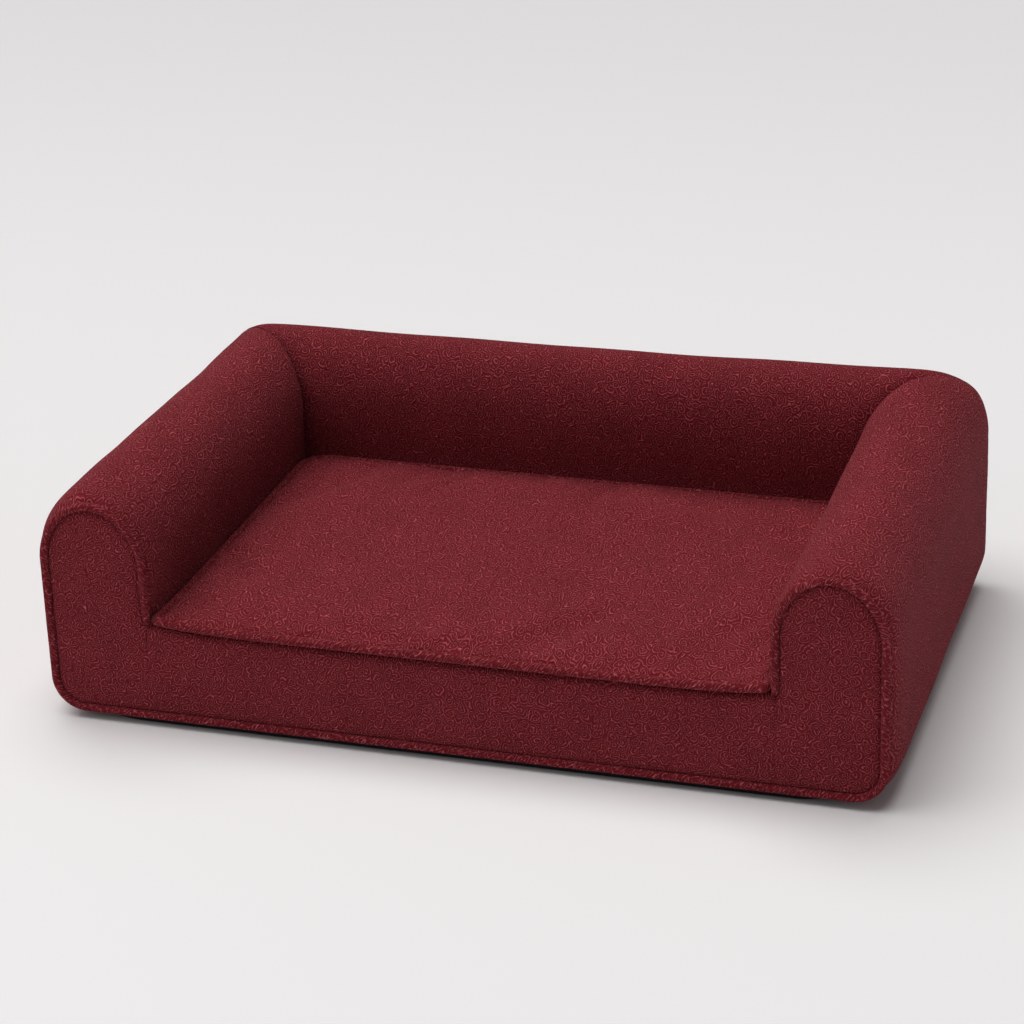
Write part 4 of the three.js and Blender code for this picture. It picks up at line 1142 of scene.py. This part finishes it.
def wall_loops():
    """Plan and height of the loops down the border, which bulges a little and is tucked in at its base."""
    at_side = np.abs(border[:, 0]) > BORDER_HALF - CORNER_SPAN
    behind = border[:, 1] - (BORDER_FRONT + BORDER_REAR) / 2
    outward = stacked(np.sign(border[:, 0]) * at_side, np.sign(behind) * ~at_side)
    slot_top, slot_foot = CUSHION_ZIP_Z + SLOT_HALF, CUSHION_ZIP_Z - SLOT_HALF
    for z in np.concatenate([
        np.linspace(LIP_UNDER - WALL_CLEAR, slot_top, 12),
        np.linspace(slot_top, slot_foot, 5)[1:],
        np.linspace(slot_foot, CUSHION_BASE, 10)[1:],
    ]):
        above = z - CUSHION_BASE
        bulge = BORDER_BULGE * math.sin(math.pi * above / (LIP_UNDER - CUSHION_BASE))
        yield border + outward * (bulge - BASE_TUCK * math.exp(-above / TUCK_REACH)), z


def cushion_border():
    loops = [*lip_loops(), *wall_loops()]
    points = np.array([stacked(plan[:, 0], plan[:, 1], z) for plan, z in loops])
    rear = np.flatnonzero(border[:, 1] > BORDER_REAR - TOUCHING)
    for end in (-CUSHION_ZIP_END, CUSHION_ZIP_END):
        nearest = rear[np.argmin(np.abs(border[rear, 0] - end))]
        points[len(LIP_SHARES) + 2:, nearest, 0] = end
    points = points.transpose(1, 0, 2)
    along = lengths_along(np.concatenate([border, border[:1]]))[:-1]
    down = np.concatenate([[0], np.cumsum(np.linalg.norm(np.diff(points, axis=1), axis=2).mean(0))])
    faces = grid_faces(len(ring), points.shape[1], wrap_rows=True, flip=True)
    faces = open_slot(points, faces, CUSHION_ZIP_Z, CUSHION_ZIP_END, BORDER_REAR - 0.01)
    cloth = stacked(along[:, None], -down[None, :])
    return cloth_object("cushion_border", points, faces, cloth, cover_cloth, BORDER_CLOTH)


seat_border = cushion_border()
mount(seat_border, "cushion", "cushion_cover")

half, front, rear = BORDER_HALF - UNDER_INSET, BORDER_FRONT + UNDER_INSET, BORDER_REAR - UNDER_INSET
under_edge = rounded_loop(half, front, rear, CUSHION_FRONT_RADIUS, CUSHION_REAR_RADIUS, (60, 5, 40, 7))
flat, triangles = sheet_inside(under_edge, LINING_SPACING)
sag = CUSHION_BASE + UNDER_RAISED + unevenness(*flat.T, 17, height=0.0004, wave=0.2)
points = np.column_stack([flat, sag])
seat_under = cloth_object("cushion_underside_cloth", points, triangles, flat, lining_cloth, LINING_CLOTH)
turn_towards(seat_under, (0, 0, -1))
mount(seat_under, "cushion", "cushion_underside")

# %% [markdown]
# ## Rail cover and linings
# The low front rail has its own wadding and cover under the cushion's lip, with a soft rounded top. A
# lining lies on the base board under the cushion. The whole underside is closed with a heavier dark
# cloth, painted darker still. It is led a little forward to the front hem and hangs low between its
# edges and the glides, a near-black sheet that stands in for the shade in the gap under the bed:
# painted shadow. Towards its two ends it is pulled flat.

# %% Rail cover, deck lining, base cloth
RAIL_RADIUS = 0.008
RAIL_CLEAR, RAIL_CLOTH = 0.0003, 0.0012
LINING_INSET = 0.0004
LINING_STEP = 0.008
LINING_ROWS = (0.0008, 0.0018, 0.0032)
# Painted shadow: the dark base cloth hangs this far into the gap under the bed, where there is only shade.
BASE_SHADOW_DROP, BASE_HEM, BASE_LEAD = 0.0076, 0.0010, 0.004
END_TAPER, GLIDE_CLEAR, GLIDE_FREE = 0.05, 0.002, 0.03
GLIDES = [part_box(f"glide_{end}_{side}") for end in ("front", "rear") for side in ("left", "right")]


def rail_soft():
    radius = RAIL_RADIUS
    turn = np.linspace(0, math.pi / 2, 7)
    front_y, rear_y, top, low = rail_low.y, rail_high.y, rail_high.z, rail_low.z
    line = np.concatenate([
        stacked(front_y, np.linspace(low, top - radius, 12)),
        stacked(front_y + radius - radius * np.cos(turn), top - radius + radius * np.sin(turn))[1:],
        stacked(rear_y - radius + radius * np.sin(turn), top - radius + radius * np.cos(turn)),
        stacked(rear_y, np.linspace(top - radius, low, 12))[1:],
    ])
    x = np.linspace(rail_low.x + RAIL_CLEAR, rail_high.x - RAIL_CLEAR, 160)[:, None]
    along = lengths_along(line)[None, :]
    swell = np.sin(math.pi * along / along[0, -1]) * unevenness(x, along, 51, height=0.0006, wave=0.09)
    away = np.gradient(line, axis=0)
    away = stacked(-away[:, 1], away[:, 0]) / np.linalg.norm(away, axis=1, keepdims=True)
    points = stacked(x, *(line[None, :, k] + swell * away[None, :, k] for k in range(2)))
    faces = grid_faces(*swell.shape, flip=True)
    return cloth_object("rail_cover_soft", points, faces, stacked(x, along), cover_cloth, RAIL_CLOTH)


mount(rail_soft(), "frame", "rail_cover")


def rectangle(low, high, inset):
    """Corner to corner, with points along each side, so that a sheet's edge can bend."""
    x0, x1, y0, y1 = low.x + inset, high.x - inset, low.y + inset, high.y - inset
    xs, ys = np.arange(x0, x1, LINING_STEP), np.arange(y0, y1, LINING_STEP)
    back_xs, back_ys = xs[::-1] + (x1 - xs[-1]), ys[::-1] + (y1 - ys[-1])
    return np.concatenate([stacked(xs, y0), stacked(x1, ys), stacked(back_xs, y1), stacked(x0, back_ys)])


def drop(flat, edge):
    """How far the base cloth hangs down: nothing at its edges, at its ends and where a glide holds it."""
    held = smooth_step(edge[:, 0].max() - np.abs(flat[:, 0]), 0, END_TAPER)
    for low, high in GLIDES:
        away = np.hypot(flat[:, 0] - (low.x + high.x) / 2, flat[:, 1] - (low.y + high.y) / 2)
        held *= smooth_step(away - (high.x - low.x) / 2, GLIDE_CLEAR, GLIDE_FREE)
    return BASE_SHADOW_DROP * held * settle(distance_to_line(flat, edge, closed=True), BASE_HEM)


def lining(name, node, finish, z, seed, is_base):
    low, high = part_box(node)
    if is_base:
        low = low - Vector((0, BASE_LEAD, 0))
    edge = rectangle(low, high, LINING_INSET)
    rows = np.concatenate([rectangle(low, high, LINING_INSET + row) for row in LINING_ROWS])
    flat, faces = sheet_inside(edge, LINING_SPACING, rows, LINING_ROWS[-1])
    height = z + unevenness(*flat.T, seed, height=0.0003, wave=0.15)
    if is_base:
        height -= drop(flat, edge)
    made = cloth_object(name, np.column_stack([flat, height]), faces, flat, finish, LINING_CLOTH)
    turn_towards(made, (0, 0, -1 if is_base else 1))
    mount(made, "frame", node)


lining("deck_lining", "deck_cloth", lining_cloth, deck_high.z - 0.0004, 61, False)
# The dark base cloth, hung low, is painted shadow in the gap under the bed.
lining("base_cloth_shadow_sheet", "base_cloth", base_weave_as_shadow, base_low.z + 0.0009, 63, True)

# %% [markdown]
# ## Repeats with Geometry Nodes
# Zip coils and stitches are each one small shape repeated many times. A geometry node tree
# with named inputs makes each kind; the result is kept as a plain mesh.

# %% Helpers for geometry nodes
def geometry_tree(name, labels, build):
    """A tree with a number input for each label, and a finish. build returns the instances to keep."""
    tree = bpy.data.node_groups.new(name, "GeometryNodeTree")
    numbers = dict.fromkeys(labels, "NodeSocketFloat")
    kinds = {"Geometry": "NodeSocketGeometry", **numbers, "Finish": "NodeSocketMaterial"}
    keys = {
        label: tree.interface.new_socket(label, in_out="INPUT", socket_type=kind).identifier
        for label, kind in kinds.items()
    }
    tree.interface.new_socket("Geometry", in_out="OUTPUT", socket_type="NodeSocketGeometry")
    given = tree.nodes.new("NodeGroupInput").outputs
    real = add_node(tree, "GeometryNodeRealizeInstances", {"Geometry": build(tree, given)})
    finish = {"Geometry": real.outputs["Geometry"], "Material": given["Finish"]}
    painted = add_node(tree, "GeometryNodeSetMaterial", finish)
    tree.links.new(painted.outputs["Geometry"], tree.nodes.new("NodeGroupOutput").inputs["Geometry"])
    return tree, keys


def grow(name, kind, points, edges, **values):
    """Runs a geometry node tree on points and lines, and keeps the result as a plain mesh."""
    source = bpy.data.meshes.new(name + "_source")
    source.from_pydata(points, edges, [])
    carrier = add_object(name + "_source", source)
    nodes = carrier.modifiers.new("repeat", "NODES")
    nodes.node_group, keys = kind
    for label, value in values.items():
        nodes[keys[label]] = value
    carrier.update_tag()
    seen = carrier.evaluated_get(bpy.context.evaluated_depsgraph_get())
    mesh = bpy.data.meshes.new_from_object(seen)
    mesh.name = name
    bpy.data.objects.remove(carrier)
    mesh.polygons.foreach_set("use_smooth", np.ones(len(mesh.polygons), dtype=bool))
    return add_object(name, mesh)


# %% [markdown]
# ## Zips
# A coil zip is one nylon thread wound into a flat coil and sewn along a woven tape. Two of them lock
# together. Each coil here is a helix of fine thread, flattened. Two rows of stitches run over it, and
# one row along each edge of the slot holds the cover to its tape.

# %% Zip tapes and coils
COIL_FLATNESS = 0.62
COIL_PITCH, COIL_RADIUS, COIL_THREAD = 0.0013, 0.0016, 0.00042
STITCH_STEP, STITCH_LENGTH, STITCH_THREAD = 0.0034, 0.0027, 0.00032
ON_COIL, ON_COVER = 0.0023, SLOT_HALF + 0.0022
COIL_SUNK, STITCH_SUNK, STITCH_PROUD = 0.0007, 0.0004, 0.0009
TAPE_DEPTH = 0.0009
BEAD_RAISE, BEAD_WIDTH = 0.0003, 0.0012


def wound_coil(tree, given):
    helix = add_node(tree, "GeometryNodeCurveSpiral", {
        "Resolution": 9, "Rotations": given["Turns"], "Start Radius": given["Radius"],
        "End Radius": given["Radius"], "Height": given["Length"],
    })
    lying = add_node(tree, "GeometryNodeTransform", {
        "Geometry": helix.outputs["Curve"], "Rotation": (0, math.pi / 2, 0), "Scale": (1, COIL_FLATNESS, 1),
    })
    profile = add_node(tree, "GeometryNodeCurvePrimitiveCircle", {"Resolution": 5, "Radius": given["Thread"]})
    tube = add_node(tree, "GeometryNodeCurveToMesh", {
        "Curve": lying.outputs["Geometry"], "Profile Curve": profile.outputs["Curve"], "Fill Caps": True,
    })
    copies = {"Points": given["Geometry"], "Instance": tube.outputs["Mesh"]}
    return add_node(tree, "GeometryNodeInstanceOnPoints", copies).outputs["Instances"]


def sewn_line(tree, given):
    """Stitches along a line: a short thread on every step, lying along the line."""
    line = add_node(tree, "GeometryNodeMeshToCurve", {"Mesh": given["Geometry"]}).outputs["Curve"]
    even = {"Curve": line, "Length": given["Step"]}
    steps = add_node(tree, "GeometryNodeResampleCurve", even, mode="LENGTH")
    tangent = tree.nodes.new("GeometryNodeInputTangent").outputs["Tangent"]
    facing = add_node(tree, "FunctionNodeAlignRotationToVector", {"Vector": tangent}, axis="Z")
    bead = add_node(tree, "GeometryNodeMeshUVSphere", {"Segments": 6, "Rings": 5, "Radius": given["Thread"]})
    half = math_node(tree, "MULTIPLY", math_node(tree, "DIVIDE", given["Stitch"], given["Thread"]), 0.5)
    scale = add_node(tree, "ShaderNodeCombineXYZ", {"X": 1.0, "Y": 1.0, "Z": half})
    return add_node(tree, "GeometryNodeInstanceOnPoints", {
        "Points": steps.outputs["Curve"], "Instance": bead.outputs["Mesh"],
        "Rotation": facing.outputs["Rotation"], "Scale": scale.outputs[0],
    }).outputs["Instances"]


zip_coil = geometry_tree("zip coil", ("Turns", "Length", "Radius", "Thread"), wound_coil)
stitches = geometry_tree("stitches", ("Step", "Stitch", "Thread"), sewn_line)


def zip_tape(prefix, which, body):
    """One tape, with a slight bead along its upper edge."""
    node = f"{prefix}_tape_{which}"
    low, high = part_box(node)
    x, z = np.linspace(low.x, high.x, 200)[:, None], np.linspace(low.z, high.z, 8)
    bead = BEAD_RAISE * np.exp(-np.abs(z - high.z) / BEAD_WIDTH)
    points = stacked(x, high.y - TAPE_DEPTH + bead[None, :], z[None, :])
    name, faces = f"{prefix}_tape_cloth_{which}", grid_faces(len(x), len(z))
    made = cloth_object(name, points, faces, stacked(x, z[None, :]), tape_cloth, TAPE_DEPTH)
    turn_towards(made, (0, 1, 0))
    mount(made, body, node)


def dress_zip(prefix, body, zip_z, outer_y):
    """Tapes, coil and four rows of stitches. outer_y is where the cover's outer face lies."""
    zip_tape(prefix, "lower", body)
    zip_tape(prefix, "upper", body)
    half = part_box(prefix + "_stop_start")[0].x
    coil = grow(prefix + "_coil", zip_coil, [(-half, outer_y - COIL_SUNK, zip_z)], [],
                Turns=float(round(2 * half / COIL_PITCH)), Length=2 * half, Radius=COIL_RADIUS,
                Thread=COIL_THREAD, Finish=coil_nylon)
    mount(coil, body)
    rows = [(side * up, y) for up, y in ((ON_COIL, -STITCH_SUNK), (ON_COVER, STITCH_PROUD)) for side in (-1, 1)]
    points = [(x, outer_y + y, zip_z + up) for up, y in rows for x in (-half, half)]
    sewing = grow(prefix + "_stitches", stitches, points, [(2 * i, 2 * i + 1) for i in range(len(rows))],
                  Step=STITCH_STEP, Stitch=STITCH_LENGTH, Thread=STITCH_THREAD, Finish=sewing_thread)
    mount(sewing, body)


dress_zip("cover_zip", "frame", ZIP_Z, BACK_Y)
dress_zip("cushion_zip", "cushion", CUSHION_ZIP_Z, BORDER_REAR)

# %% [markdown]
# ## Finishes on the solids that stay
# Boards, posts, screws, foams, glides and the zips' metal parts are shown as the solid model has them.
# Each gets the finish that its grain direction or make asks for.

# %% Finish the solids
FINISHES = {
    "base_board": ply_flat,
    "side_board": ply_side,
    "back_board": ply_across,
    "front_rail_board": ply_across,
    "corner_post": pine_post,
    "screw": screw_zinc,
    "cushion_comfort_foam": memory_foam,
    "foam": white_foam,
    "zip": zip_metal,
    "glide": grip_rubber,
}
finished = 0
for node_name, node in sorted(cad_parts.items()):
    if not node.hide_render:
        node.data.materials.clear()
        node.data.materials.append(next(value for key, value in FINISHES.items() if key in node_name))
        finished += 1
print("solids finished:", finished)

# %% [markdown]
# ## Floor and light
# A wide pale floor fills the whole view; far behind the bed its colour is painted a little darker, as
# shade where the light falls off. A large soft light from the upper left leaves a faint shadow on the
# right, a soft lamp near the left front lifts that side, a weak one keeps the right from going dark,
# and a dim sky fills in. Where the camera sees the sky itself, it is as bright as the floor, so that
# low views have no grey band behind the bed.

# %% Floor
FLOOR_GLOW = 0.01
FLOOR_REACH = 30
DIM_FROM, DIM_TO = 0.5, 2.6
FLOOR_NEAR, FLOOR_FAR_SHADE = (0.85, 0.837, 0.846), (0.75, 0.742, 0.75)
PALE = (1, 0.985, 0.99, 1)


def seen_directly(tree):
    """1 where the camera, a mirror or glass sees a surface, 0 where it only lights others."""
    ray = add_node(tree, "ShaderNodeLightPath").outputs
    seen = math_node(tree, "MAXIMUM", ray["Is Camera Ray"], ray["Is Glossy Ray"])
    return math_node(tree, "MAXIMUM", seen, ray["Is Transmission Ray"])


floor_finish, floor_tree, floor_shader = material("pale floor", roughness=0.9, specular=0.0)
# Painted shade: the floor's colour darkens towards the far colour behind the bed, where the light would fall off.
far = ramp(floor_tree, split(floor_tree, object_place(floor_tree))["Y"], DIM_FROM, DIM_TO)
feed(floor_tree, floor_shader.inputs["Base Color"], mix_colour(floor_tree, far, FLOOR_NEAR, FLOOR_FAR_SHADE))
glow = add_node(floor_tree, "ShaderNodeEmission", {"Color": PALE, "Strength": 1.0}).outputs[0]
share = math_node(floor_tree, "MULTIPLY", seen_directly(floor_tree), FLOOR_GLOW)
mixed = add_node(floor_tree, "ShaderNodeMixShader", {0: share, 1: floor_shader.outputs[0], 2: glow})
floor_tree.links.new(mixed.outputs[0], floor_tree.nodes["Material Output"].inputs["Surface"])
floor_mesh = bpy.data.meshes.new("floor")
floor_corners = [(FLOOR_REACH * x, FLOOR_REACH * y, 0) for x, y in ((-1, -1), (1, -1), (1, 1), (-1, 1))]
floor_mesh.from_pydata(floor_corners, [], [(0, 1, 2, 3)])
floor_mesh.materials.append(floor_finish)
floor = add_object("floor", floor_mesh)
floor.location.z = cad_low.z

# %% Lights
SKY_LIGHT, SKY_SEEN = 0.14, 0.80
WARM_WHITE, WHITE = (1.0, 0.99, 0.98), (1.0, 1.0, 1.0)
SUNS = {"key": ((-0.25, 0.06, 0.97), 2.6, 62, WARM_WHITE), "side": ((0.93, -0.25, 0.27), 0.08, 40, WHITE)}
LAMP_PLACE, LAMP_AIM = Vector((-1.3, -1.3, 1.1)), Vector((-0.3, -0.2, 0.1))
LAMP_POWER, LAMP_WIDTH = 3.0, 0.9


def lamp(name, kind, direction, energy, colour):
    """A lamp that shines from a direction: its back points that way."""
    data = bpy.data.lights.new(name, kind)
    data.energy = energy
    data.color = colour
    made = add_object(name, data)
    made.rotation_euler = Vector(direction).to_track_quat("Z", "Y").to_euler()
    return made


for name, (direction, strength, width, colour) in SUNS.items():
    lamp(name, "SUN", direction, strength, colour).data.angle = math.radians(width)
left_front = lamp("left front", "AREA", LAMP_PLACE - LAMP_AIM, LAMP_POWER, WARM_WHITE)
left_front.data.shape = "DISK"
left_front.data.size = LAMP_WIDTH
left_front.location = LAMP_PLACE

world = bpy.data.worlds.new("soft sky")
bpy.context.scene.world = world
world.use_nodes = True
sky = world.node_tree.nodes["Background"].inputs
sky["Color"].default_value = PALE
sky_strength = ramp(world.node_tree, seen_directly(world.node_tree), 0, 1, SKY_LIGHT, SKY_SEEN, kind="LINEAR")
world.node_tree.links.new(sky_strength, sky["Strength"])
print("lit")
